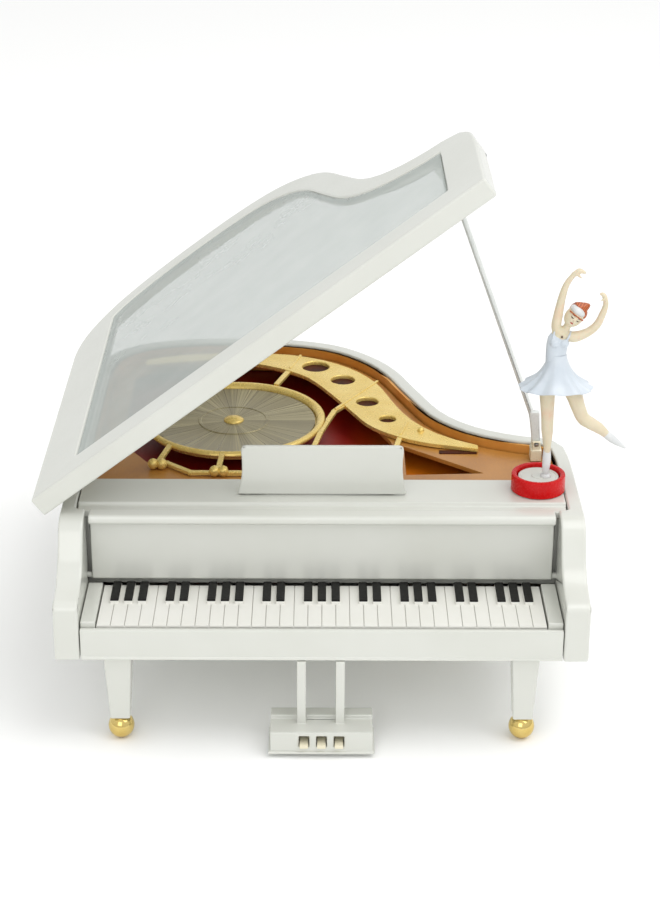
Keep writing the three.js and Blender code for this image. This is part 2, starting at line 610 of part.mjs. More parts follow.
const PEDAL_X = [-5.3, 0, 5.3];
const LYRE = { y0: -5, y1: 9, half: 15.5, z0: 1.2, z1: 8.6 };

function pedalLyre() {
  const { y0, y1, half, z0, z1 } = LYRE;
  const shell = box(-half, half, y0, y1, z0, z1);
  const flange = box(-half - 0.6, half + 0.6, y0 - 0.6, y1, z0, z0 + 0.9);
  const slots = PEDAL_X.map((x) => box(x - 1.6, x + 1.6, y0 - 1, y0 + 4, z0 + 2.2, z1 - 1.4));
  const room = box(-8, 8, y0 + 3, y0 + 6, z0 + 2.2, z1 - 1.4);
  const step = box(-half, half, 3, y1 - 1.5, z1 - 0.5, z1 + 1.3);
  const uprights = [-6.1, 5.6].map((x) => box(x - 1.35, x + 1.35, 0.2, 2.8, z1 - 0.5, BASE_Z));
  return join(cut(join(shell, flange, step), room, ...slots), ...uprights);
}

// Three pedals on one strip that lies inside the box.
const pedals = () => join(
  box(-7, 7, LYRE.y0 + 3.4, LYRE.y0 + 5.6, LYRE.z0 + 2.5, LYRE.z0 + 3.7),
  ...PEDAL_X.map((x) =>
    box(x - 1.3, x + 1.3, LYRE.y0 - 1.4, LYRE.y0 + 3.7, LYRE.z0 + 2.5, LYRE.z0 + 3.7)));

// ---- nodes ----
const white = () => paint(...WHITE);
node('case_body', caseBody(), white());
node('bottom_cover', bottomCover(), white());
for (const [name, place] of Object.entries(COVER_SCREWS)) {
  node(`cover_screw_${name}`, coverScrew(place), paint(...STEEL));
}
node('key_slip', keySlip(), white());
node('keyboard', keyboard(), paint(0xeeeeea, 0.3));
node('key_block_left', keyBlock(-1), white());
node('key_block_right', keyBlock(1), white());
node('fallboard', fallboard(), white());
node('front_deck', frontDeck(), white());
node('music_desk', musicDesk(), white());
node('pedestal_ring', turned([[6.7, 66.3], [8.4, 66.3], [8.4, 71.2], [8.1, 71.6], [6.7, 71.6],
  [6.7, 66.3]], DANCER.x, DANCER.y, 40), paint(0xc01818, 0.35));
node('turntable_disc', join(post(DANCER.x, DANCER.y, 68.9, 70.6, 6.3, 36)), white());
node('dancer_figure', dancerFigure(), paint(0xe8dcc8, 0.5));
node('dancer_skirt', dancerSkirt(), paint(0xdfe6ea, 0.5));
node('dancer_hair', dancerHair(), paint(0xb85a28, 0.5));
node('dancer_spindle', dancerSpindle(), paint(...BRASS));
node('idler_gear', gear(TEETH.idler, IDLER.x, IDLER.y, 50.3, 52.3, 15, 1.6), paint(...BRASS));
node('idler_post', post(IDLER.x, IDLER.y, BASE_Z + 2.7, 53.2, 1.2), paint(...STEEL));
node('spring_barrel', springBarrel(), paint(...BRASS));
node('movement_plate', movementPlate(), paint(...STEEL));
node('pin_cylinder', pinCylinder(), paint(...BRASS));
node('cylinder_bracket', cylinderBracket(), paint(...STEEL));
node('comb', comb(), paint(...STEEL));
node('comb_bed', combBed(), paint(...STEEL));
node('comb_screw_outer', combScrew(-29.5), paint(...STEEL));
node('comb_screw_inner', combScrew(-17.5), paint(...STEEL));
node('governor', governor(), paint(...BRASS));
node('governor_cage', governorCage(), paint(...STEEL));
node('winding_arbor', windingArbor(), paint(...STEEL));
node('winding_key', windingKey(), paint(...BRASS));
node('floor_tray', floorTray(), paint(0x6a1a10, 0.3));
node('inner_trim', innerTrim(), paint(...AMBER));
node('soundboard', soundboard(), paint(...TAN));
node('harp_plate', harpPlate(), paint(...GOLD));
node('rosette_ring', rosetteRing(), paint(...GOLD));
node('rosette_disc', rosetteDisc(), paint(0xa09c8c, 0.3, 0.7));
node('lid_frame', lidFrame(), white(), lid);
node('lid_window', lidWindow(), paint(0xd6dcd8, 0.1), lid);
node('lid_catch', lidCatch(), white(), lid);
for (const [name, y] of Object.entries(HINGES)) {
  node(`${name}_hinge_case_leaf`, caseLeaf(y), white());
  node(`${name}_hinge_lid_leaf`, lidLeaf(y), white(), lid);
  node(`${name}_hinge_pin`, hingePin(y), paint(...STEEL));
}
node('prop_stick', propStick(), paint(0xd4d8d4, 0.35));
node('prop_bracket', propBracket(), paint(0xe6dfc4, 0.4));
node('prop_pin', propPin(), paint(...STEEL));
const LEGS = { front_left: [-LEG_X, 7], front_right: [LEG_X, 7], rear: [LEG_REAR.x, LEG_REAR.y] };
for (const [name, [x, y]] of Object.entries(LEGS)) {
  node(`leg_${name}`, leg(x, y), white());
  node(`foot_${name}`, ballFoot(x, y), paint(...GOLD));
}
node('pedal_lyre', pedalLyre(), white());
node('pedals', pedals(), paint(0xe9e4d2, 0.35));

const jewelleryBox = new THREE.Group();
piano.position.set(-CENTRE.x, -CENTRE.y, 0);
jewelleryBox.add(piano);
jewelleryBox.updateMatrixWorld(true);

export default jewelleryBox;
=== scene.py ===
# Musical jewellery box: a small white grand piano with a glazed lid, a gilt harp and a ballerina.
# Lengths are written in millimetres from the middle of the keyboard, the front of the arms and the
# table, and at() takes them to the frame's metres.
import math
import random
import bmesh
import bpy
from mathutils import Matrix, Vector


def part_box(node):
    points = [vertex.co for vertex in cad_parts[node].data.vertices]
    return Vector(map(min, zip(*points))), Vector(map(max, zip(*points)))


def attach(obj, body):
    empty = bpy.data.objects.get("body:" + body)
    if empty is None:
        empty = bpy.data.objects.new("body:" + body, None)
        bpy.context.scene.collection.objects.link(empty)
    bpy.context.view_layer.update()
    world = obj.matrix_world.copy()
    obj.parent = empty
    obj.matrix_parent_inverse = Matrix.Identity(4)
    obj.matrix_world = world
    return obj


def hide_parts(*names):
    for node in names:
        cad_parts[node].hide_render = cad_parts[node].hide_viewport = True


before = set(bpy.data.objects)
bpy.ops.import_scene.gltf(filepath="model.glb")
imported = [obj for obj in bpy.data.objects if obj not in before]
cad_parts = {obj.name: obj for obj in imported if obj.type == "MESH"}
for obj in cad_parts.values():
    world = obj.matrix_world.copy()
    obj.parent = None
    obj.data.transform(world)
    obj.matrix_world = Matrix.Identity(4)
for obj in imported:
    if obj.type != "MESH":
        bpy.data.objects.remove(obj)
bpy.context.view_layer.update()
bpy.ops.object.select_all(action="DESELECT")

# ---- Camera ----
# A long lens a little above the lid, square to the keyboard.
CAMERA_AT = (-0.00275, -0.62356, 0.34040)
LENS = 82.46
LOOK_DOWN = 0.420974
LOOK_ASIDE = -0.004196
ROLL = 0.0051393
bpy.ops.object.camera_add(location=CAMERA_AT)
camera = bpy.context.object
camera.data.lens = LENS
camera.data.sensor_width = 36
camera.data.clip_start = 0.01
camera.rotation_euler = (
    Matrix.Rotation(LOOK_ASIDE, 4, "Z")
    @ Matrix.Rotation(math.pi / 2 - LOOK_DOWN, 4, "X")
    @ Matrix.Rotation(ROLL, 4, "Z")
).to_euler()
bpy.context.scene.camera = camera

# ---- Case, arms and underside cover ----
# The case is one injection moulding in glossy white ABS: the bent rim and the two scrolled arms,
# with every outer edge eased by the mould. A flat cover closes it from below.
MM = 0.001
case_low, case_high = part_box("case_body")
MIDDLE_X = (case_low.x + case_high.x) / 2
FRONT_Y = case_low.y - 0.5 * MM


def at(x, y, z):
    return Vector((MIDDLE_X + x * MM, FRONT_Y + y * MM, z * MM))


def linear(code):
    """A six-digit sRGB colour as linear RGBA."""
    parts = [int(code[i:i + 2], 16) / 255 for i in (0, 2, 4)]
    return [p / 12.92 if p <= 0.04045 else ((p + 0.055) / 1.055) ** 2.4 for p in parts] + [1.0]


def add(tree, kind, settings=None, links=None):
    """Adds one shader node, with its settings and the sockets that feed it."""
    node = tree.nodes.new("ShaderNode" + kind)
    for name, value in (settings or {}).items():
        if isinstance(name, int) or name in node.inputs:
            node.inputs[name].default_value = value
        else:
            setattr(node, name, value)
    for name, source in (links or {}).items():
        tree.links.new(source, node.inputs[name])
    return node


def blank(name, **sockets):
    """A material with one Principled shader, its plain sockets set."""
    material = bpy.data.materials.new(name)
    material.use_nodes = True
    shader = material.node_tree.nodes["Principled BSDF"]
    for socket, value in sockets.items():
        shader.inputs[socket.replace("_", " ")].default_value = value
    return material, material.node_tree, shader


def ramp(tree, source, *stops):
    """A colour ramp with stops of place and sRGB colour."""
    node = add(tree, "ValToRGB", links={"Fac": source})
    elements = node.color_ramp.elements
    while len(elements) < len(stops):
        elements.new(0.5)
    for element, (place, code) in zip(elements, stops):
        element.position = place
        element.color = linear(code)
    return node.outputs["Color"]


def moulded(name, light, dark, flow_mm, grain_mm, rough, depth, **sockets):
    """A moulded or plated skin: cloudy colour over flow_mm, fine grain over grain_mm."""
    material, tree, shader = blank(name, **sockets)
    place = add(tree, "TexCoord").outputs["Object"]
    flow = add(tree, "TexNoise", {"Scale": 1 / (flow_mm * MM), "Detail": 3}, {"Vector": place})
    grain = add(tree, "TexNoise", {"Scale": 1 / (grain_mm * MM), "Detail": 4}, {"Vector": place})
    colour = ramp(tree, flow.outputs["Fac"], (0.3, dark), (0.7, light))
    spread = add(tree, "MapRange", {"From Min": 0.3, "From Max": 0.7, "To Min": rough[0],
                                    "To Max": rough[1]}, {"Value": grain.outputs["Fac"]})
    bump = add(tree, "Bump", {"Strength": depth, "Distance": 0.05 * MM},
               {"Height": grain.outputs["Fac"]})
    tree.links.new(colour, shader.inputs["Base Color"])
    tree.links.new(spread.outputs["Result"], shader.inputs["Roughness"])
    tree.links.new(bump.outputs["Normal"], shader.inputs["Normal"])
    return material


def only(piece):
    bpy.ops.object.select_all(action="DESELECT")
    piece.select_set(True)
    bpy.context.view_layer.objects.active = piece


def modify(piece, kind, **settings):
    only(piece)
    modifier = piece.modifiers.new(kind.title(), kind)
    for name, value in settings.items():
        setattr(modifier, name, value)
    bpy.ops.object.modifier_apply(modifier=modifier.name)


def smooth(piece, angle=35):
    only(piece)
    bpy.ops.object.shade_smooth_by_angle(angle=math.radians(angle))


def eased(piece, width, segments=3, angle=30):
    """Rounds every edge sharper than angle, and keeps the flats flat under the light."""
    modify(piece, "BEVEL", width=width * MM, segments=segments, limit_method="ANGLE",
           angle_limit=math.radians(angle), use_clamp_overlap=False, miter_outer="MITER_ARC")
    smooth(piece, 40)
    modify(piece, "WEIGHTED_NORMAL", keep_sharp=True)


def merged_copy(node, name):
    """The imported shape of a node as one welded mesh, ready for finer edges."""
    piece = bpy.data.objects.new(name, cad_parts[node].data.copy())
    bpy.context.scene.collection.objects.link(piece)
    piece.data.materials.clear()
    only(piece)
    bpy.ops.mesh.customdata_custom_splitnormals_clear()
    bpy.ops.object.mode_set(mode="EDIT")
    bpy.ops.mesh.select_all(action="SELECT")
    bpy.ops.mesh.remove_doubles(threshold=0.03 * MM)
    bpy.ops.mesh.dissolve_limited(angle_limit=math.radians(0.6))
    bpy.ops.mesh.vert_connect_concave()
    bpy.ops.object.mode_set(mode="OBJECT")
    return piece


def swept_round(piece, upright, sharpest=26):
    """Turns the flats along a bent wall into a curve, by bevelling the faint edges between them."""
    only(piece)
    bpy.ops.object.mode_set(mode="EDIT")
    bpy.ops.mesh.select_mode(type="EDGE")
    bpy.ops.mesh.select_all(action="DESELECT")
    shape = bmesh.from_edit_mesh(piece.data)
    for edge in shape.edges:
        along = (edge.verts[1].co - edge.verts[0].co).normalized()
        bend = math.degrees(edge.calc_face_angle(0))
        edge.select_set(abs(along.dot(upright)) > 0.999 and 0.8 < bend < sharpest)
    bmesh.update_edit_mesh(piece.data)
    bpy.ops.mesh.bevel(offset_type="PERCENT", offset_pct=33, segments=2, profile=0.5)
    bpy.ops.object.mode_set(mode="OBJECT")


def settle(piece, body, slot, material, *nodes):
    """Gives a piece its finish, its body and the nodes that it stands for; the slot is not used."""
    if material:
        piece.data.materials.clear()
        piece.data.materials.append(material)
    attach(piece, body)
    if nodes:
        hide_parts(*nodes)
    return piece


UP = Vector((0, 0, 1))
# Injection-moulded ABS: a clean gloss with a faint flow in the white and a soft orange peel.
white_abs = moulded("gloss_white_moulded_abs", "D3D4CD", "CECFC7", 34, 0.9, (0.2, 0.27), 0.05,
                    IOR=1.54, Coat_Weight=0.25, Coat_Roughness=0.12)

case_walls = merged_copy("case_body", "case_walls")
eased(case_walls, 0.7)
settle(case_walls, "case", "white_plastic", white_abs, "case_body")

underside = merged_copy("bottom_cover", "underside_cover")
eased(underside, 0.3, 2)
settle(underside, "case", "white_plastic", white_abs, "bottom_cover")

# ---- Screws of the underside cover ----
# Four pan-head screws in zinc-plated steel hold the cover, each with a crossed driver slot.
# Each is turned and slotted in turn.
# Plated steel: grey with a faint cloud and a fine wiped grain.
steel = moulded("zinc_plated_steel", "B9BDC2", "A7ABB0", 6, 0.25, (0.25, 0.4), 0.08, Metallic=1.0)


def begin(name):
    """An empty piece at the origin, open for modelling."""
    piece = bpy.data.objects.new(name, bpy.data.meshes.new(name))
    bpy.context.scene.collection.objects.link(piece)
    only(piece)
    bpy.ops.object.mode_set(mode="EDIT")
    bpy.ops.mesh.select_mode(type="VERT")
    return piece


def close_up(piece):
    """Welds a modelled piece, turns its faces outwards and leaves edit mode."""
    bpy.ops.mesh.select_all(action="SELECT")
    bpy.ops.mesh.remove_doubles(threshold=0.004 * MM)
    bpy.ops.mesh.normals_make_consistent(inside=False)
    bpy.ops.object.mode_set(mode="OBJECT")
    return piece


def raised(profile, centre, sides=64):
    """Adds a circle and raises it through a profile of radius and height round centre.

    A profile that comes back to its start makes a ring, and any other is capped at both ends."""
    spot = at(centre[0], centre[1], 0)
    (radius, height), ring = profile[0], profile[0] == profile[-1]
    bpy.ops.mesh.select_all(action="DESELECT")
    bpy.ops.mesh.primitive_circle_add(vertices=sides, radius=radius * MM,
                                      location=spot + Vector((0, 0, height * MM)),
                                      fill_type="NOTHING" if ring else "NGON")
    for wider, higher in profile[1:]:
        bpy.ops.mesh.extrude_region_move(
            TRANSFORM_OT_translate={"value": (0, 0, (higher - height) * MM)})
        share = wider / radius
        bpy.ops.transform.resize(value=(share, share, 1), center_override=spot)
        radius, height = wider, higher


def turned(name, profile, centre, sides=64):
    piece = begin(name)
    raised(profile, centre, sides)
    return close_up(piece)


def screw(name, node):
    low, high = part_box(node)
    middle = (low + high) / 2
    x, y = (middle.x - MIDDLE_X) / MM, (middle.y - FRONT_Y) / MM
    bottom, top = low.z / MM, high.z / MM
    piece = begin(name)
    raised([(1.4, bottom), (2.0, bottom + 0.25), (2.2, bottom + 0.6), (2.2, top)], (x, y), 24)
    close_up(piece)
    slots = begin(name + "_slot")
    for turn in (0, math.pi / 2):
        bpy.ops.mesh.primitive_cube_add(size=1, location=at(x, y, bottom), scale=(
            2.2 * MM, 0.45 * MM, 0.9 * MM), rotation=(0, 0, turn))
    bpy.ops.object.mode_set(mode="OBJECT")
    modify(slots, "REMESH", mode="VOXEL", voxel_size=0.12 * MM)
    modify(piece, "BOOLEAN", operation="DIFFERENCE", object=slots, solver="EXACT")
    bpy.data.objects.remove(slots)
    smooth(piece, 30)
    return settle(piece, "case", "steel", steel, node)


for corner in ("front_left", "front_right", "rear_left", "rear_right"):
    screw("cover_screw_head_" + corner, "cover_screw_" + corner)

# ---- Keyslip, key blocks and fallboard ----
# The rail in front of the keys has a bead along its foot. Two blocks close the ends of the keyboard,
# and the fallboard turns on pegs behind it; all are white mouldings with eased edges.
for node, name, body, width in [
        ("key_slip", "keyslip_rail", "case", 0.3),
        ("key_block_left", "left_key_block", "case", 0.35),
        ("key_block_right", "right_key_block", "case", 0.35),
        ("fallboard", "fallboard_panel", "fallboard", 0.55),
        ("front_deck", "front_ledge", "case", 0.45),
        ("music_desk", "music_desk_panel", "desk", 0.5)]:
    part = merged_copy(node, name)
    eased(part, width)
    settle(part, body, "white_plastic", white_abs, node)

# ---- Keyboard ----
# Thirty-two white keys stand on one bed with a hairline between neighbours. The sharps are part of
# the same white moulding, and only their tops are stamped black.
KEY_COUNT = 32
SHARP_STEPS = [1, 1, 1, 0, 1, 1, 0]
KEY_HAIRLINE = 0.17
SHARP_HALF = 1.3
SHARP_FRONT = 16.3
bed_low, bed_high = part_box("keyboard")
KEY_TOP = 41.0
SHARP_TOP = bed_high.z / MM
key_left = (bed_low.x - MIDDLE_X) / MM
key_pitch = -2 * key_left / KEY_COUNT
key_front, key_back = (bed_low.y - FRONT_Y) / MM, (bed_high.y - FRONT_Y) / MM
# Moulded ABS for the naturals, a shade warmer and brighter than the case.
ivory_abs = moulded("ivory_white_moulded_abs", "E4E3DD", "DFDED7", 22, 0.6, (0.18, 0.25), 0.05,
                    IOR=1.54, Coat_Weight=0.3, Coat_Roughness=0.1)


def block(low, high):
    """Adds a box from its low corner to its high one, in the open piece."""
    low, high = at(*low), at(*high)
    bpy.ops.mesh.primitive_cube_add(size=1, location=(low + high) / 2, scale=high - low)


def stamped_sharp():
    """Hot-stamped black foil over white ABS: black above a line just under the top edge."""
    material, tree, shader = blank("black_stamped_abs", IOR=1.33)
    place = add(tree, "TexCoord").outputs["Object"]
    height = add(tree, "SeparateXYZ", links={0: place}).outputs["Z"]
    wobble = add(tree, "TexNoise", {"Scale": 1 / (0.8 * MM), "Detail": 2}, {"Vector": place})
    edge = add(tree, "MapRange", {"From Min": (SHARP_TOP - 0.62) * MM,
                                  "From Max": (SHARP_TOP - 0.55) * MM}, {"Value": height})
    black = ramp(tree, wobble.outputs["Fac"], (0.35, "060504"), (0.65, "0C0B08"))
    colour = add(tree, "Mix", {"data_type": "RGBA"}, {"Factor": edge.outputs["Result"]})
    colour.inputs[6].default_value = linear("EDECE6")
    tree.links.new(black, colour.inputs[7])
    spread = add(tree, "MapRange", {"From Min": 0.3, "From Max": 0.7, "To Min": 0.42, "To Max": 0.55},
                 {"Value": wobble.outputs["Fac"]})
    tree.links.new(colour.outputs[2], shader.inputs["Base Color"])
    tree.links.new(spread.outputs["Result"], shader.inputs["Roughness"])
    return material


naturals = begin("white_keys")
block((key_left, key_front, bed_low.z / MM), (-key_left, key_back, KEY_TOP - 0.5))
for key in range(KEY_COUNT):
    left = key_left + key * key_pitch + KEY_HAIRLINE / 2
    block((left, key_front, KEY_TOP - 0.9), (left + key_pitch - KEY_HAIRLINE, key_back, KEY_TOP))
bpy.ops.object.mode_set(mode="OBJECT")
eased(naturals, 0.14, 2)
settle(naturals, "case", "keys", ivory_abs, "keyboard")

sharps = begin("black_keys")
for key in range(1, KEY_COUNT):
    if SHARP_STEPS[(key - 1) % len(SHARP_STEPS)]:
        x = key_left + key * key_pitch
        block((x - SHARP_HALF, SHARP_FRONT, KEY_TOP - 0.6), (x + SHARP_HALF, key_back, SHARP_TOP))
bpy.ops.object.mode_set(mode="OBJECT")
eased(sharps, 0.3, 3)
settle(sharps, "case", "keys", stamped_sharp())

# ---- Pedestal and turntable ----
# A red ring stands on the ledge round a white disc that turns with the dancer. Both are glossy
# mouldings with rounded lips; the disc is sunk between its rim and its middle.
ring_low, ring_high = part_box("pedestal_ring")
DANCER_X = ((ring_low.x + ring_high.x) / 2 - MIDDLE_X) / MM
DANCER_Y = ((ring_low.y + ring_high.y) / 2 - FRONT_Y) / MM
ledge, lip = ring_low.z / MM, ring_high.z / MM
# Self-coloured glossy polystyrene: deep red with a bright clean edge.
red_styrene = moulded("red_gloss_polystyrene", "CC0206", "BE0205", 9, 0.7, (0.22, 0.3), 0.05,
                      IOR=1.35)
pedestal = turned("red_pedestal", [
    (8.45, ledge), (8.4, ledge + 0.5), (8.4, lip - 0.6), (8.28, lip - 0.22), (8.0, lip - 0.04),
    (7.6, lip), (7.15, lip - 0.05), (6.85, lip - 0.3), (6.75, lip - 0.7), (6.7, ledge), (8.45, ledge)],
    (DANCER_X, DANCER_Y), 96)
smooth(pedestal)
settle(pedestal, "case", "red_plastic", red_styrene, "pedestal_ring")

disc_low, disc_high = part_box("turntable_disc")
disc_under, disc_top = disc_low.z / MM, disc_high.z / MM
turntable = turned("white_turntable", [
    (5.9, disc_under), (6.3, disc_under + 0.3), (6.3, disc_top - 0.3), (6.2, disc_top - 0.05),
    (6.0, disc_top), (5.6, disc_top), (5.4, disc_top - 0.18), (2.2, disc_top - 0.22),
    (1.9, disc_top), (0.05, disc_top)], (DANCER_X, DANCER_Y), 96)
smooth(turntable)
settle(turntable, "dancer", "white_plastic", white_abs, "turntable_disc")

# ---- Ballerina ----
# A small figure moulded in soft polystyrene and painted by hand: bare arms and legs, a white-blue
# dress and shoes. Limbs are swept, fused into one skin and smoothed; details of the head are added.
FOOT_Z = disc_top


def limb(name, stations, sides=5):
    """A smooth round sweep through stations of x, y, z and radius, y counted from the dancer's."""
    bpy.ops.curve.primitive_bezier_curve_add(location=(0, 0, 0))
    sweep = bpy.context.object
    sweep.name = name
    line = sweep.data.splines[0]
    line.bezier_points.add(len(stations) - len(line.bezier_points))
    for point, (x, y, z, radius) in zip(line.bezier_points, stations):
        point.co = at(x, DANCER_Y + y, z)
        point.radius = radius
        point.handle_left_type = point.handle_right_type = "AUTO"
    sweep.data.bevel_depth = MM
    sweep.data.bevel_resolution = sides
    sweep.data.resolution_u = 8
    sweep.data.use_fill_caps = True
    bpy.ops.object.convert(target="MESH")
    return sweep


def flatten(piece, share):
    """Presses a piece flatter from front to back, about the dancer's own middle plane."""
    only(piece)
    bpy.ops.object.mode_set(mode="EDIT")
    bpy.ops.mesh.select_all(action="SELECT")
    bpy.ops.transform.resize(value=(1, share, 1), center_override=at(0, DANCER_Y, 0))
    bpy.ops.object.mode_set(mode="OBJECT")
    return piece


def fused(name, parts, voxel, rounds):
    """Joins parts into one closed skin and smooths the joins."""
    bpy.ops.object.select_all(action="DESELECT")
    for part in parts:
        part.select_set(True)
    bpy.context.view_layer.objects.active = parts[0]
    if len(parts) > 1:
        bpy.ops.object.join()
    piece = bpy.context.object
    piece.name = piece.data.name = name
    modify(piece, "REMESH", mode="VOXEL", voxel_size=voxel * MM)
    modify(piece, "SMOOTH", factor=0.5, iterations=rounds)
    only(piece)
    bpy.ops.object.shade_smooth()
    return piece


HEAD = (75.8, 0.0, 123.5)
HEAD_TILT = math.radians(38)
HEAD_HALF = (2.75, 2.95, 3.5)
head_turn = Matrix.Rotation(HEAD_TILT, 3, "Y") @ Matrix.Rotation(math.radians(-8), 3, "X")


def on_head(side, ahead, up):
    """A point of the head in its own directions, from the middle of the skull."""
    return at(HEAD[0], DANCER_Y + HEAD[1], HEAD[2]) + head_turn @ (Vector((side, -ahead, up)) * MM)


def egg(name, middle, half, turn=head_turn, segments=32):
    """A ball pulled to half sizes and turned with the head."""
    piece = begin(name)
    bpy.ops.mesh.primitive_uv_sphere_add(segments=segments, ring_count=segments // 2, radius=1,
                                         location=middle, rotation=turn.to_euler(),
                                         scale=Vector(half) * MM)
    bpy.ops.object.mode_set(mode="OBJECT")
    return piece


figure_parts = [
    # standing leg, hip and raised leg
    limb("leg", [(69.6, -0.2, 71.2, 0.7), (69.7, -0.2, 75, 1.0), (69.7, 0, 80, 1.15), (69.5, 0.3, 86, 1.85),
                 (69.3, 0.2, 90.5, 1.95), (69.1, -0.1, 94, 2.15), (69, 0, 99, 2.5), (70.2, 0, 104, 2.7)]),
    limb("leg", [(94, 1.5, 79.7, 0.35), (91, 1.4, 81.6, 0.9), (88.4, 1.2, 83.8, 1.15),
                 (85.4, 1.2, 86.3, 1.75), (82.8, 0.9, 88, 1.95), (80.5, 0.5, 89.8, 2.05),
                 (78.9, 0.5, 93, 2.2), (77, 0.3, 98, 2.55), (73.4, 0, 104, 2.8)]),
    # trunk, neck and skull
    flatten(limb("trunk", [(71, 0, 101, 2.6), (71.2, 0, 104.5, 3.3), (70.9, 0, 109, 2.7),
                           (71, 0, 112.5, 2.7), (71.5, 0, 116, 3.1), (72.4, 0, 118.4, 2.5),
                           (73.2, 0, 119.6, 1.4)]), 0.74),
    limb("neck", [(72.6, 0.1, 117.6, 1.5), (73.9, 0.1, 120.3, 1.15), (75.2, 0.2, 122.4, 1.3)]),
    egg("skull", on_head(0, 0, 0), HEAD_HALF),
    egg("jaw", on_head(0, 0.5, -1.7), (1.75, 2.0, 1.75)),
    egg("nose", on_head(0, 2.95, -0.75), (0.3, 0.42, 0.6)),
    # raised arm over the head, and its hand
    limb("arm", [(71.6, 0, 117.2, 1.5), (70.6, 0, 120, 1.55), (70.9, 0, 123.6, 1.45), (71.4, 0, 127, 1.3),
                 (71.9, 0, 129.8, 1.15), (73, 0, 133.6, 0.95), (74.6, 0, 136.2, 0.78),
                 (75.6, -0.1, 137.2, 0.9), (76.6, -0.2, 137.6, 0.85)]),
    flatten(limb("palm", [(75.6, 0, 137.3, 0.7), (76.6, 0, 137.9, 0.8), (77.6, 0, 137.7, 0.6),
                          (78.6, 0, 137.2, 0.3)]), 1.5),
    limb("thumb", [(75.9, -0.6, 137, 0.4), (76.7, -1.0, 136.5, 0.34), (77.3, -1.1, 135.9, 0.22)]),
    # arm held out to the side, and its hand
    limb("arm", [(73.8, 0, 117.2, 1.6), (76.2, 0, 116.9, 1.7), (78.6, 0, 117.6, 1.5), (80.8, 0, 118.8, 1.3),
                 (82.8, 0, 120.8, 1.22), (84.3, 0, 124.2, 1.05), (85.1, 0, 127.2, 0.85),
                 (85, -0.1, 128.7, 0.8)]),
    flatten(limb("palm", [(85, 0, 128.4, 0.7), (84.7, 0, 129.6, 0.78), (84.1, 0, 130.5, 0.6),
                          (83.1, 0, 130.6, 0.3)]), 1.5),
    limb("thumb", [(84.7, -0.5, 129, 0.4), (84, -0.9, 129.1, 0.32), (83.5, -1, 128.8, 0.22)]),
]
figure = fused("ballerina_skin", figure_parts, 0.2, 5)


def painted_skin():
    """Matt flesh paint over moulded styrene: cream with a little pink in a slow cloud, brush grain."""
    material, tree, shader = blank("flesh_paint_on_styrene", IOR=1.46, Subsurface_Weight=0.08,
                                   Subsurface_Scale=0.0008)
    place = add(tree, "TexCoord").outputs["Object"]
    cloud = add(tree, "TexNoise", {"Scale": 1 / (5 * MM), "Detail": 3}, {"Vector": place})
    brush = add(tree, "TexNoise", {"Scale": 1 / (0.35 * MM), "Detail": 3}, {"Vector": place})
    colour = ramp(tree, cloud.outputs["Fac"], (0.3, "D3C7AA"), (0.55, "D8CCB2"), (0.75, "DBBFA4"))
    spread = add(tree, "MapRange", {"From Min": 0.3, "From Max": 0.7, "To Min": 0.42, "To Max": 0.55},
                 {"Value": brush.outputs["Fac"]})
    bump = add(tree, "Bump", {"Strength": 0.12, "Distance": 0.04 * MM}, {"Height": brush.outputs["Fac"]})
    tree.links.new(colour, shader.inputs["Base Color"])
    tree.links.new(spread.outputs["Result"], shader.inputs["Roughness"])
    tree.links.new(bump.outputs["Normal"], shader.inputs["Normal"])
    return material


settle(figure, "dancer", "figure_paint", painted_skin(), "dancer_figure")

# ---- Dress, shoes and headband ----
# The bodice and the flared skirt share one blue-white satin paint. The skirt is a thin moulded shell
# with soft flutes that deepen towards its hem; the shoes and the headband are plain white paint.
# Satin paint: pale blue-white with a soft sheen along the folds.
satin_paint = moulded("blue_white_satin_paint", "CFD6DD", "BFC8D1", 7, 0.4, (0.34, 0.46), 0.1,
                      IOR=1.48, Sheen_Weight=0.25, Sheen_Roughness=0.4)
bodice = flatten(limb("painted_bodice", [
    (71, 0, 106.5, 3.3), (70.9, 0, 109.5, 3.1), (70.9, 0, 111.6, 3.15), (71.1, 0, 114.2, 3.3),
    (71.3, 0, 116, 3.2), (71.6, 0, 116.9, 2.8), (71.8, 0, 117.3, 2.2)], 9), 0.8)
busts = [egg("bust", at(70.2, DANCER_Y - 1.9, 115.4), (1.5, 1.35, 1.4), Matrix.Identity(3)),
         egg("bust", at(73, DANCER_Y - 1.9, 115.4), (1.5, 1.35, 1.4), Matrix.Identity(3))]
straps = [limb("strap", [(69.3, -1.9, 116.2, 0.4), (69.9, -1.3, 118.6, 0.35), (70.3, 0.6, 119.4, 0.35),
                         (70.4, 1.7, 117.2, 0.4)]),
          limb("strap", [(73.6, -1.9, 116, 0.4), (74.6, -1.3, 118, 0.35), (75, 0.6, 118.3, 0.35),
                         (74.4, 1.7, 116.6, 0.4)])]
bodice = fused("painted_bodice", [bodice] + busts + straps, 0.2, 4)
settle(bodice, "dancer", "dress_paint", satin_paint)

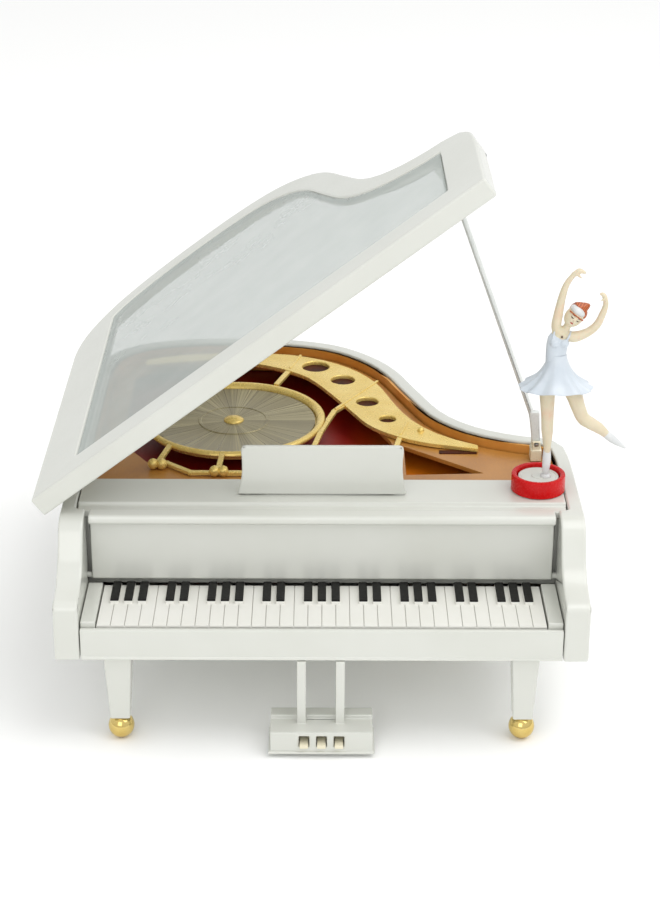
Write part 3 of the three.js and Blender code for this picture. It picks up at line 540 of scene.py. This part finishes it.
# The skirt's rings are given as radius and height, from the waist to the hem.
SKIRT_X = 71.4
SKIRT_RINGS = [(2.75, 111.6), (3.05, 109.8), (3.8, 107.8), (5.1, 105.6), (6.9, 103.6), (8.9, 102.1),
               (10.3, 101.2), (11.1, 100.7)]
HEM_LIP = (11.1, 100.5)
FLUTES = 11
skirt = begin("painted_skirt")
raised(SKIRT_RINGS + [HEM_LIP], (SKIRT_X, DANCER_Y), 156)
bpy.ops.mesh.select_all(action="DESELECT")
shape = bmesh.from_edit_mesh(skirt.data)
for face in [f for f in shape.faces if abs(f.normal.z) > 0.999 and len(f.verts) > 8]:
    shape.faces.remove(face)
hip, hem = SKIRT_RINGS[0], SKIRT_RINGS[-1]
middle = at(SKIRT_X, DANCER_Y, 0)
for vertex in shape.verts:
    out = Vector((vertex.co.x - middle.x, vertex.co.y - middle.y, 0))
    turn = math.atan2(out.y, out.x)
    drop = (hip[1] - vertex.co.z / MM) / (hip[1] - hem[1])
    wave = math.cos(FLUTES * turn + 1.3 * math.sin(2 * turn))
    vertex.co += out * (0.05 * wave * drop ** 2)
    vertex.co.z += (0.35 * wave - 0.5 * math.cos(2 * turn)) * drop ** 3 * MM
    vertex.co.y -= out.y * 0.22 * drop
bmesh.update_edit_mesh(skirt.data)
close_up(skirt)
modify(skirt, "SOLIDIFY", thickness=0.35 * MM, offset=-1)
modify(skirt, "SUBSURF", levels=1, render_levels=1)
only(skirt)
bpy.ops.object.shade_smooth()
settle(skirt, "dancer", "dress_paint", satin_paint, "dancer_skirt")

white_paint = moulded("white_brushed_paint", "D9DAD9", "CDCFCF", 4, 0.3, (0.3, 0.42), 0.14, IOR=1.5)
shoes = [
    limb("shoe", [(69.6, -0.2, FOOT_Z, 0.75), (69.6, -0.3, 72.4, 1.05), (69.65, -0.3, 74.6, 1.3),
                  (69.7, -0.2, 77, 1.35), (69.7, 0.1, 79, 1.22), (69.7, 0.1, 79.6, 1.1)]),
    limb("shoe", [(94.3, 1.5, 79.4, 0.35), (93, 1.5, 80.3, 0.75), (91.2, 1.4, 81.5, 1.05),
                  (89.4, 1.3, 82.9, 1.3), (88, 1.2, 84.1, 1.3), (87.5, 1.2, 84.5, 1.2)])]
shoes = fused("ballet_shoes", shoes, 0.16, 3)
settle(shoes, "dancer", "dress_paint", white_paint)

# The foot stands on a small moulded plug that keys the figure to the disc.
plug = turned("foot_plug", [(1.7, FOOT_Z - 0.25), (1.75, FOOT_Z + 0.1), (1.5, FOOT_Z + 0.55),
                            (1.1, FOOT_Z + 0.75), (0.05, FOOT_Z + 0.8)], (69.6, DANCER_Y - 0.2), 32)
smooth(plug, 50)
settle(plug, "dancer", "dress_paint", white_paint)

band = egg("white_headband", on_head(-0.35, 0.45, 1.95), (2.6, 2.85, 1.45))
modify(band, "SUBSURF", levels=1, render_levels=1)
only(band)
bpy.ops.object.shade_smooth()
settle(band, "dancer", "dress_paint", white_paint)

# ---- Hair and face ----
# The hair is one moulded cap drawn back to a point, painted chestnut over combed grooves. The face
# is a plain doll's: two lowered lids, two brows and a small mouth in fine raised paint.
hair = fused("combed_hair", [
    egg("cap", on_head(0.3, -0.75, 1.9), (2.95, 2.9, 2.4)),
    egg("back", on_head(0.5, -1.3, 0.2), (2.8, 2.3, 3.1)),
    limb("bun", [(76.6, 0.4, 125.6, 2.3), (78.2, 0.6, 126, 1.9), (79.6, 0.8, 126.5, 1.15),
                 (80.5, 0.9, 126.9, 0.4)]),
    limb("fringe", [
        (*((on_head(side, math.sqrt(8.4 - side * side) + 0.05, 0.62) - at(0, DANCER_Y, 0)) / MM), 0.24)
        for side in (-2.6, -1.8, -0.9, 0, 0.9, 1.8, 2.6)])], 0.16, 3)


def combed_paint():
    """Chestnut paint over grooves some 0.7 mm apart that run back over the head."""
    material, tree, shader = blank("chestnut_combed_paint", IOR=1.5, Coat_Weight=0.2)
    place = add(tree, "TexCoord").outputs["Object"]
    along = add(tree, "Mapping", {"Rotation": (0, -HEAD_TILT, 0)}, {"Vector": place})
    grooves = add(tree, "TexWave", {"Scale": 1 / (2.2 * MM), "Distortion": 5, "Detail": 3,
                                    "Detail Scale": 1.4}, {"Vector": along.outputs["Vector"]})
    colour = ramp(tree, grooves.outputs["Fac"], (0.15, "93421A"), (0.5, "AC501E"), (0.9, "BE6228"))
    spread = add(tree, "MapRange", {"To Min": 0.5, "To Max": 0.3}, {"Value": grooves.outputs["Fac"]})
    bump = add(tree, "Bump", {"Strength": 0.25, "Distance": 0.06 * MM}, {"Height": grooves.outputs["Fac"]})
    tree.links.new(colour, shader.inputs["Base Color"])
    tree.links.new(spread.outputs["Result"], shader.inputs["Roughness"])
    tree.links.new(bump.outputs["Normal"], shader.inputs["Normal"])
    return material


settle(hair, "dancer", "hair_paint", combed_paint(), "dancer_hair")
dark_paint = moulded("dark_brown_line_paint", "4A2A1C", "38201A", 1.5, 0.2, (0.35, 0.5), 0.1, IOR=1.5)
lip_paint = moulded("rose_line_paint", "B4564C", "A8483F", 1.5, 0.2, (0.3, 0.45), 0.1, IOR=1.5)


def face_line(name, spots, radius):
    """A raised line of paint through spots of side and height on the face."""
    line = []
    for side, up in spots:
        rest = 1 - (side / HEAD_HALF[0]) ** 2 - (up / HEAD_HALF[2]) ** 2
        spot = (on_head(side, HEAD_HALF[1] * math.sqrt(rest) - 0.05, up) - at(0, DANCER_Y, 0)) / MM
        line.append((*spot, radius))
    line[0] = line[0][:3] + (radius * 0.4,)
    line[-1] = line[-1][:3] + (radius * 0.4,)
    return limb(name, line, 3)


EYE = [(0.5, -0.35), (0.85, -0.5), (1.25, -0.42), (1.55, -0.2)]
BROW = [(0.45, 0.1), (1.0, 0.38), (1.6, 0.2)]
eyes = [face_line("eye", [(way * side, up) for side, up in EYE], 0.17) for way in (-1, 1)]
brows = [face_line("brow", [(way * side, up) for side, up in BROW], 0.11) for way in (-1, 1)]
bpy.ops.object.select_all(action="DESELECT")
for line in eyes + brows:
    line.select_set(True)
bpy.context.view_layer.objects.active = eyes[0]
bpy.ops.object.join()
eyes = bpy.context.object
eyes.name = "painted_eyes"
mouth = egg("painted_mouth", on_head(0, 2.42, -1.95), (0.55, 0.28, 0.24))
pendant = egg("painted_pendant", at(72.2, DANCER_Y - 2.25, 117.6), (0.32, 0.25, 0.36), Matrix.Identity(3))
for piece, slot, paint in [(eyes, "hair_paint", dark_paint), (mouth, "figure_paint", lip_paint),
                           (pendant, "hair_paint", dark_paint)]:
    only(piece)
    bpy.ops.object.shade_smooth()
    settle(piece, "dancer", slot, paint)

# ---- Sunken floor and inner trim ----
# Under the harp lies a vacuum-formed tray in dark red lacquer, with painted light warming it to
# orange towards the right. A band of amber foil lines the rim above the tray.
def lacquer_with_painted_light():
    """Red-brown lacquer: deep red under the ring, with painted light warming it to orange brown on the
    right.
    """
    material, tree, shader = blank("red_lacquer_with_painted_light", IOR=1.35)
    place = add(tree, "TexCoord").outputs["Object"]
    across = add(tree, "SeparateXYZ", links={0: place}).outputs["X"]
    # Painted light: the colour turns from deep red to orange across x, for the light falling in from the
    # right; the cloud is the lacquer's own uneven tone.
    share = add(tree, "MapRange", {"From Min": MIDDLE_X + 8 * MM, "From Max": MIDDLE_X + 30 * MM},
                {"Value": across})
    cloud = add(tree, "TexNoise", {"Scale": 1 / (9 * MM), "Detail": 4}, {"Vector": place})
    mixed = add(tree, "Math", {"operation": "MULTIPLY_ADD", 1: 0.25}, {0: cloud.outputs["Fac"],
                                                                      2: share.outputs["Result"]})
    colour = ramp(tree, mixed.outputs["Value"], (0.1, "8C140C"), (0.5, "A8380C"), (1.0, "D07414"))
    grain = add(tree, "TexNoise", {"Scale": 1 / (0.5 * MM), "Detail": 3}, {"Vector": place})
    spread = add(tree, "MapRange", {"To Min": 0.3, "To Max": 0.46}, {"Value": grain.outputs["Fac"]})
    tree.links.new(colour, shader.inputs["Base Color"])
    tree.links.new(spread.outputs["Result"], shader.inputs["Roughness"])
    return material


floor = merged_copy("floor_tray", "red_floor_painted_light")
swept_round(floor, UP)
eased(floor, 0.25, 2)
settle(floor, "case", "red_brown_floor", lacquer_with_painted_light(), "floor_tray")
# Metallised foil: amber with a lengthwise brushed grain.
amber_foil = moulded("amber_metallised_foil", "E2A552", "CC8834", 12, 0.5, (0.28, 0.4), 0.06, Metallic=0.3)
trim = merged_copy("inner_trim", "amber_trim_band")
swept_round(trim, UP)
eased(trim, 0.25, 2)
settle(trim, "case", "amber_trim", amber_foil, "inner_trim")

# ---- Soundboard ----
# A thin sheet printed in flat tan covers the margin inside the rim, cut away over the sunken floor.
# Its print is a fine even grain, and its cut edges are lightly eased.
def printed_tan():
    """Printed card under clear varnish: tan with a fine grain some 2 mm long."""
    material, tree, shader = blank("tan_printed_board", IOR=1.5, Coat_Weight=0.25, Coat_Roughness=0.2)
    place = add(tree, "TexCoord").outputs["Object"]
    long = add(tree, "Mapping", {"Scale": (1, 0.25, 1)}, {"Vector": place})
    grain = add(tree, "TexNoise", {"Scale": 1 / (0.5 * MM), "Detail": 4}, {"Vector": long.outputs["Vector"]})
    cloud = add(tree, "TexNoise", {"Scale": 1 / (16 * MM), "Detail": 2}, {"Vector": place})
    mixed = add(tree, "Math", {"operation": "MULTIPLY_ADD", 1: 0.4}, {0: grain.outputs["Fac"],
                                                                     2: cloud.outputs["Fac"]})
    colour = ramp(tree, mixed.outputs["Value"], (0.45, "A06A2C"), (0.7, "B07834"), (0.95, "BA823E"))
    spread = add(tree, "MapRange", {"To Min": 0.3, "To Max": 0.48}, {"Value": grain.outputs["Fac"]})
    bump = add(tree, "Bump", {"Strength": 0.12, "Distance": 0.04 * MM}, {"Height": grain.outputs["Fac"]})
    tree.links.new(colour, shader.inputs["Base Color"])
    tree.links.new(spread.outputs["Result"], shader.inputs["Roughness"])
    tree.links.new(bump.outputs["Normal"], shader.inputs["Normal"])
    return material


board = merged_copy("soundboard", "tan_soundboard")
swept_round(board, UP)
eased(board, 0.2, 2)
settle(board, "case", "tan_board", printed_tan(), "soundboard")

# ---- Harp plate ----
# The harp is one casting plated in pale gold: a curved plate with four holes, struts over the sunken
# floor and beads at its ends. A low lip runs round each hole, and three ribs cross the plate.
# Gold plating over a smooth casting: bright, warm, with a slow cloud in its colour.
gold_plate = moulded("pale_gold_plating", "F2D684", "E6C66A", 9, 2.5, (0.24, 0.3), 0.01, Metallic=0.45)
HARP_HOLES = [(-2.5, 154, 5.2), (7.2, 141.4, 4.6), (15.5, 121.5, 4.2), (22.1, 106.4, 3.2)]
HARP_RIBS = [((4.4, 114.6), (19.6, 140.4)), ((26, 93), (28.7, 103.4)), ((-11.8, 152), (-8, 165))]
PLATE_THICK = 1.4
PLATE_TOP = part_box("harp_plate")[0].z / MM + PLATE_THICK
harp = merged_copy("harp_plate", "gold_harp")
eased(harp, 0.22, 2)
settle(harp, "case", "gold_plate", gold_plate, "harp_plate")

lips = begin("hole_lips")
for x, y, radius in HARP_HOLES:
    raised([(radius - 0.3, PLATE_TOP - 1.2), (radius + 0.2, PLATE_TOP - 1.2),
            (radius + 0.2, PLATE_TOP + 0.06), (radius, PLATE_TOP + 0.14),
            (radius - 0.2, PLATE_TOP + 0.06), (radius - 0.3, PLATE_TOP - 0.2),
            (radius - 0.3, PLATE_TOP - 1.2)], (x, y), 40)
close_up(lips)
smooth(lips, 50)
settle(lips, "case", "gold_plate", gold_plate)


def rib(start, end, width, low, high):
    """A straight rounded bar between two places on the plate."""
    first, last = at(start[0], start[1], (low + high) / 2), at(end[0], end[1], (low + high) / 2)
    run = last - first
    bpy.ops.mesh.primitive_cube_add(
        size=1, location=(first + last) / 2, rotation=(0, 0, math.atan2(run.y, run.x)),
        scale=(run.length, width * MM, (high - low) * MM))


ribs = begin("plate_ribs")
for start, end in HARP_RIBS:
    rib(start, end, 1.1, PLATE_TOP - 0.3, PLATE_TOP + 0.45)
bpy.ops.object.mode_set(mode="OBJECT")
eased(ribs, 0.3, 3)
settle(ribs, "case", "gold_plate", gold_plate)

beads = begin("tuning_beads")
for x, y, radius in [(-54.7, 68.5, 1.75), (-51.9, 68.5, 1.75), (-34.6, 63.1, 1.75), (-31.8, 63.1, 1.75),
                     (32.9, 96, 1.0)]:
    bpy.ops.mesh.primitive_uv_sphere_add(segments=24, ring_count=14, radius=radius * MM,
                                         location=at(x, y, PLATE_TOP + 0.2))
bpy.ops.object.mode_set(mode="OBJECT")
only(beads)
bpy.ops.object.shade_smooth()
settle(beads, "case", "gold_plate", gold_plate)

# Painted shadow: dark brown discs on the board under the holes stand in for the shade seen down them, and a
# dark strip stands in for the shade under the tongue.
BOARD_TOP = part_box("soundboard")[1].z / MM
painted_shadow_brown = moulded("painted_shadow_dark_brown", "4A1608", "361005", 3, 0.5, (0.5, 0.62), 0.03, IOR=1.3)
spots = begin("painted_hole_shadows")
for x, y, radius in HARP_HOLES:
    bpy.ops.mesh.primitive_cylinder_add(vertices=40, radius=(radius + 0.1) * MM, depth=0.5 * MM,
                                        location=at(x, y, BOARD_TOP))
block((38.5, 80.9, BOARD_TOP - 0.2), (50.8, 83.4, BOARD_TOP + 0.3))
bpy.ops.object.mode_set(mode="OBJECT")
eased(spots, 0.08, 2)
settle(spots, "case", "red_brown_floor", painted_shadow_brown)

# ---- Rosette ----
# A gilt ring stands in the board round a spun disc. The disc is bright metal with a sunburst brushed
# from its middle, and carries a low gilt boss.
rosette_low, rosette_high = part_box("rosette_ring")
ROSE_X = ((rosette_low.x + rosette_high.x) / 2 - MIDDLE_X) / MM
ROSE_Y = ((rosette_low.y + rosette_high.y) / 2 - FRONT_Y) / MM
ROSE_FOOT, ROSE_TOP = rosette_low.z / MM, rosette_high.z / MM
rose_ring = turned("gold_rosette_ring", [
    (27.0, ROSE_FOOT), (29.2, ROSE_FOOT), (29.2, ROSE_TOP - 1.6), (31.1, ROSE_TOP - 1.5),
    (31.3, ROSE_TOP - 1.2), (31.2, ROSE_TOP - 0.6), (30.8, ROSE_TOP - 0.2), (30.2, ROSE_TOP),
    (29.5, ROSE_TOP - 0.1), (28.8, ROSE_TOP - 0.5), (28.3, ROSE_TOP - 1.2), (28.2, ROSE_FOOT + 0.6),
    (27.0, ROSE_FOOT + 0.6), (27.0, ROSE_FOOT)], (ROSE_X, ROSE_Y), 128)
smooth(rose_ring, 40)
settle(rose_ring, "case", "gold_plate", gold_plate, "rosette_ring")


def sunburst():
    """Spun metal foil with rays: a painted reflection brightens and darkens it with the angle, the gloss
    follows the angle, and the middle is more olive.
    """
    material, tree, shader = blank("sunburst_foil_painted_reflection", Metallic=0.45)
    place = add(tree, "TexCoord").outputs["Object"]
    centred = add(tree, "Mapping", {"Location": -at(ROSE_X, ROSE_Y, 0)}, {"Vector": place})
    parts = add(tree, "SeparateXYZ", links={0: centred.outputs["Vector"]})
    turn = add(tree, "Math", {"operation": "ARCTAN2"}, {0: parts.outputs["Y"], 1: parts.outputs["X"]})
    far = add(tree, "VectorMath", {"operation": "LENGTH"}, {0: centred.outputs["Vector"]})
    # Painted reflection: light and dark rays round the angle stand in for the brushed metal catching the
    # light; the finer rays also drive the brushed grain of its gloss and bumps.
    fine = add(tree, "TexNoise", {"noise_dimensions": "1D", "Scale": 26, "Detail": 5, "Roughness": 0.7},
               {"W": turn.outputs["Value"]})
    painted_reflection_sweep = add(tree, "TexNoise", {"noise_dimensions": "1D", "Scale": 3.2, "Detail": 1},
                {"W": turn.outputs["Value"]})
    mixed = add(tree, "Math", {"operation": "MULTIPLY_ADD", 1: 0.6}, {0: painted_reflection_sweep.outputs["Fac"],
                                                                     2: fine.outputs["Fac"]})
    rays_with_painted_reflection = ramp(tree, mixed.outputs["Value"], (0.55, "7A7056"), (0.8, "978D6C"), (1.05, "B8AE88"))
    inner = add(tree, "MapRange", {"From Min": 9 * MM, "From Max": 11.5 * MM},
                {"Value": far.outputs["Value"]})
    colour = add(tree, "Mix", {"data_type": "RGBA"}, {"Factor": inner.outputs["Result"]})
    olive = ramp(tree, mixed.outputs["Value"], (0.55, "8A7A3C"), (0.95, "CDBB6E"))
    tree.links.new(olive, colour.inputs[6])
    tree.links.new(rays_with_painted_reflection, colour.inputs[7])
    spread = add(tree, "MapRange", {"From Min": 0.3, "From Max": 0.7, "To Min": 0.24, "To Max": 0.42},
                 {"Value": fine.outputs["Fac"]})
    bump = add(tree, "Bump", {"Strength": 0.25, "Distance": 0.05 * MM}, {"Height": fine.outputs["Fac"]})
    tree.links.new(colour.outputs[2], shader.inputs["Base Color"])
    tree.links.new(spread.outputs["Result"], shader.inputs["Roughness"])
    tree.links.new(bump.outputs["Normal"], shader.inputs["Normal"])
    return material


ROSE_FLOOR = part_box("rosette_disc")[0].z / MM
rose_disc = turned("sunburst_disc", [
    (27.8, ROSE_FLOOR), (27.8, ROSE_FLOOR + 0.7), (26.6, ROSE_FLOOR + 0.7), (26.3, ROSE_FLOOR + 0.6),
    (12.2, ROSE_FLOOR + 0.6), (11.9, ROSE_FLOOR + 0.85), (11.2, ROSE_FLOOR + 0.85),
    (10.9, ROSE_FLOOR + 0.65), (0.05, ROSE_FLOOR + 0.65)], (ROSE_X, ROSE_Y), 128)
smooth(rose_disc, 30)
settle(rose_disc, "case", "sunburst", sunburst(), "rosette_disc")
boss = turned("rosette_boss", [
    (3.4, ROSE_FLOOR + 0.6), (3.4, ROSE_FLOOR + 0.9), (3.0, ROSE_FLOOR + 1.3), (1.9, ROSE_FLOOR + 1.7),
    (1.2, ROSE_FLOOR + 2.0), (0.05, ROSE_FLOOR + 2.1)], (ROSE_X, ROSE_Y), 48)
smooth(boss, 50)
settle(boss, "case", "gold_plate", gold_plate)

# ---- Lid ----
# The lid is a deep white frame of the same plan as the case with a clear plastic window set into it.
# Its top edges are broadly rounded by the mould, and a wedge beneath takes the prop.
LID_OPEN = math.radians(37.2)
LID_UP = Matrix.Rotation(-LID_OPEN, 3, "Y") @ UP
lid_frame = merged_copy("lid_frame", "lid_frame_moulding")
swept_round(lid_frame, LID_UP)
eased(lid_frame, 0.8, 3)
settle(lid_frame, "lid", "white_plastic", white_abs, "lid_frame")


def clear_sheet():
    """Cast clear styrene, cool grey-green in its thickness, with the faintest ripple; its half-opaque
    surface colour is partly a painted reflection of the pale studio.
    """
    material, tree, shader = blank("clear_styrene_painted_reflection", IOR=1.5, Alpha=0.55)
    place = add(tree, "TexCoord").outputs["Object"]
    ripple = add(tree, "TexNoise", {"Scale": 1 / (14 * MM), "Detail": 2}, {"Vector": place})
    # Painted reflection: the half-opaque pale grey-green stands in for the white room mirrored in the sheet,
    # over the sheet's own grey-green tint.
    colour = ramp(tree, ripple.outputs["Fac"], (0.3, "B9C1BC"), (0.7, "C0C7C2"))
    spread = add(tree, "MapRange", {"To Min": 0.1, "To Max": 0.16}, {"Value": ripple.outputs["Fac"]})
    tree.links.new(colour, shader.inputs["Base Color"])
    tree.links.new(spread.outputs["Result"], shader.inputs["Roughness"])
    return material


window = merged_copy("lid_window", "lid_window_sheet")
swept_round(window, LID_UP)
eased(window, 0.2, 2)
settle(window, "lid", "clear_window", clear_sheet(), "lid_window")
catch = merged_copy("lid_catch", "prop_catch")
eased(catch, 0.35)
settle(catch, "lid", "white_plastic", white_abs, "lid_catch")

# ---- Lid hinges ----
# Two white butt hinges on the left wall join the lid to the case, each on a plated steel pin.
for end in ("front", "rear"):
    for half, body in (("case", "case"), ("lid", "lid")):
        leaf = merged_copy(f"{end}_hinge_{half}_leaf", f"{end}_{half}_hinge_leaf")
        eased(leaf, 0.15, 2)
        settle(leaf, body, "white_plastic", white_abs, f"{end}_hinge_{half}_leaf")
    pin = merged_copy(f"{end}_hinge_pin", f"{end}_hinge_rod")
    eased(pin, 0.15, 2, 50)
    settle(pin, "case", "steel", steel, f"{end}_hinge_pin")

# ---- Lid prop ----
# A thin grey-white rod moulded with a broad foot swings on a pin in a cream forked bracket.
prop_abs = moulded("grey_white_moulded_abs", "DCDFDC", "D2D6D3", 12, 0.6, (0.24, 0.34), 0.06,
                   IOR=1.54, Coat_Weight=0.2)
cream_abs = moulded("cream_moulded_abs", "EAE3CB", "E0D8BC", 10, 0.6, (0.25, 0.35), 0.06, IOR=1.54)
prop = merged_copy("prop_stick", "prop_rod")
eased(prop, 0.3, 3, 40)
settle(prop, "prop", "prop_plastic", prop_abs, "prop_stick")
bracket = merged_copy("prop_bracket", "prop_fork")
eased(bracket, 0.3)
settle(bracket, "case", "prop_plastic", cream_abs, "prop_bracket")
prop_pin = merged_copy("prop_pin", "prop_fork_pin")
eased(prop_pin, 0.12, 2, 50)
settle(prop_pin, "case", "steel", steel, "prop_pin")

# ---- Legs and ball feet ----
# Three square legs taper to gilt ball feet. The legs are white mouldings; each foot is a turned ball
# with a collar, chromed in pale gold.
bright_gold = moulded("bright_gold_chrome", "E4CC86", "D8BC6E", 5, 0.6, (0.1, 0.18), 0.03, Metallic=0.95)
for corner in ("front_left", "front_right", "rear"):
    leg = merged_copy("leg_" + corner, "square_leg_" + corner)
    eased(leg, 0.55)
    settle(leg, "case", "white_plastic", white_abs, "leg_" + corner)
    low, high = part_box("foot_" + corner)
    centre = (low + high) / 2
    spot = ((centre.x - MIDDLE_X) / MM, (centre.y - FRONT_Y) / MM)
    bottom, top = low.z / MM, high.z / MM
    ball = (high.x - low.x) / 2 / MM
    profile = [(1.2, bottom), (1.5, bottom + 0.06)]
    for step in range(1, 12):
        angle = math.radians(-72 + 12.5 * step)
        profile.append((ball * math.cos(angle), bottom + ball + ball * math.sin(angle)))
    profile += [(1.9, top - 0.45), (2.4, top - 0.4), (2.55, top - 0.2), (2.4, top), (0.05, top)]
    foot = turned("ball_foot_" + corner, profile, spot, 64)
    smooth(foot, 60)
    settle(foot, "case", "gold_plate", bright_gold, "foot_" + corner)

# ---- Pedal lyre ----
# Two square posts stand on a low white box with a foot flange. Three cream pedals with rounded toes
# come out of slots in its front.
lyre = merged_copy("pedal_lyre", "lyre_box")
eased(lyre, 0.3)
settle(lyre, "case", "white_plastic", white_abs, "pedal_lyre")
pedal_low, pedal_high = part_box("pedals")
PEDAL_FOOT, PEDAL_TOP = pedal_low.z / MM, pedal_high.z / MM
pedal_tip, pedal_back = (pedal_low.y - FRONT_Y) / MM, (pedal_high.y - FRONT_Y) / MM
PEDAL_SPACING = 5.3
PEDAL_HALF = 1.3
toes = begin("cream_pedals")
for x in (-PEDAL_SPACING, 0, PEDAL_SPACING):
    block((x - PEDAL_HALF, pedal_tip, PEDAL_FOOT), (x + PEDAL_HALF, pedal_back - 0.6, PEDAL_TOP))
block(((pedal_low.x - MIDDLE_X) / MM, pedal_back - 1.9, PEDAL_FOOT + 0.15),
      ((pedal_high.x - MIDDLE_X) / MM, pedal_back, PEDAL_TOP - 0.15))
bpy.ops.mesh.select_all(action="DESELECT")
shape = bmesh.from_edit_mesh(toes.data)
for edge in shape.edges:
    run = edge.verts[1].co - edge.verts[0].co
    upright = abs(run.z) > 0.9 * run.length
    edge.select_set(upright and edge.verts[0].co.y < at(0, pedal_tip + 0.1, 0).y)
bmesh.update_edit_mesh(toes.data)
bpy.ops.mesh.bevel(offset=1.1 * MM, segments=6)
bpy.ops.object.mode_set(mode="OBJECT")
eased(toes, 0.22, 2)
settle(toes, "case", "pedal_plastic", cream_abs, "pedals")

# ---- Musical movement ----
# Behind the fallboard a wind-up movement turns the dancer: a toothed spring barrel, an idler, a pinned
# brass cylinder, a steel comb and an air-brake governor, all on one steel plate.
brass = moulded("drawn_brass", "CFAE5E", "BD9A4C", 7, 0.3, (0.22, 0.36), 0.08, Metallic=1.0)
for node, name, body, finish, slot in [
        ("dancer_spindle", "dancer_shaft", "dancer", brass, "brass"),
        ("idler_gear", "idler_wheel", "idler", brass, "brass"),
        ("idler_post", "idler_stud", "case", steel, "steel"),
        ("spring_barrel", "toothed_barrel", "barrel", brass, "brass"),
        ("movement_plate", "movement_base", "case", steel, "steel"),
        ("pin_cylinder", "tune_cylinder", "cylinder", brass, "brass"),
        ("cylinder_bracket", "cylinder_cheek", "case", steel, "steel"),
        ("comb", "steel_comb", "case", steel, "steel"),
        ("comb_bed", "comb_rest", "case", steel, "steel"),
        ("comb_screw_outer", "comb_bolt_outer", "case", steel, "steel"),
        ("comb_screw_inner", "comb_bolt_inner", "case", steel, "steel"),
        ("governor", "governor_fan", "governor", brass, "brass"),
        ("governor_cage", "governor_bridge", "case", steel, "steel"),
        ("winding_arbor", "winding_shaft", "key", steel, "steel"),
        ("winding_key", "butterfly_key", "key", brass, "brass")]:
    part = merged_copy(node, name)
    eased(part, 0.12 if node != "winding_key" else 0.35, 2, 40)
    settle(part, body, slot, finish, node)

# The tune is set out as short pins, one row for each tooth of the comb.
drum_low, drum_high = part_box("pin_cylinder")
PIN_ROWS = 18
PINS_IN_ROW = 9
DRUM_RADIUS = 5.6
ROW_SPACING = 1.0
ROW_INSET = 4.6
PIN_RADIUS = 0.16
PIN_LENGTH = 0.9
drum_axis = (drum_low + drum_high) / 2
first_row = drum_low.x / MM + ROW_INSET
chance = random.Random(5)
pins = begin("tune_pins")
for row in range(PIN_ROWS):
    for pin in range(PINS_IN_ROW):
        turn = 2 * math.pi * (pin + chance.random()) / PINS_IN_ROW
        out = Vector((0, math.cos(turn), math.sin(turn)))
        spot = Vector(((first_row + row * ROW_SPACING) * MM, drum_axis.y, drum_axis.z))
        bpy.ops.mesh.primitive_cylinder_add(
            vertices=6, radius=PIN_RADIUS * MM, depth=PIN_LENGTH * MM,
            location=spot + out * (DRUM_RADIUS + 0.25) * MM,
            rotation=out.to_track_quat("Z", "X").to_euler())
bpy.ops.object.mode_set(mode="OBJECT")
smooth(pins, 40)
settle(pins, "cylinder", "steel", steel)

# ---- Studio ----
# A pale seamless table, even light all round, a soft box over the open side of the lid and another
# beside the lens.
bpy.ops.mesh.primitive_plane_add(size=8, location=(0, 0, 0))
table = bpy.context.object
table.name = "studio_table"
paper = blank("pale_seamless_paper", Roughness=0.9, Base_Color=linear("FBFBFA"))[0]
table.data.materials.append(paper)

world = bpy.data.worlds.new("soft_studio")
bpy.context.scene.world = world
world.use_nodes = True
sky = world.node_tree
direction = add(sky, "TexCoord").outputs["Generated"]
height = add(sky, "SeparateXYZ", links={0: direction}).outputs["Z"]
shade = ramp(sky, height, (0.0, "E6E8E8"), (0.35, "F6F7F7"), (0.8, "FFFFFF"))
sky.nodes["Background"].inputs["Strength"].default_value = 0.92
sky.links.new(shade, sky.nodes["Background"].inputs["Color"])


def softbox(name, place, aim, size, power):
    bpy.ops.object.light_add(type="AREA", location=place)
    lamp = bpy.context.object
    lamp.name = name
    lamp.data.size = size
    lamp.data.energy = power
    lamp.rotation_euler = (Vector(aim) - Vector(place)).to_track_quat("-Z", "Y").to_euler()


softbox("ceiling_softbox", (0.5, -0.15, 1.0), (0, 0.02, 0.06), 0.9, 5.5)
softbox("front_softbox", (-0.25, -1.1, 0.65), (0, 0, 0.06), 0.7, 2.5)
bpy.context.scene.view_settings.view_transform = "Standard"
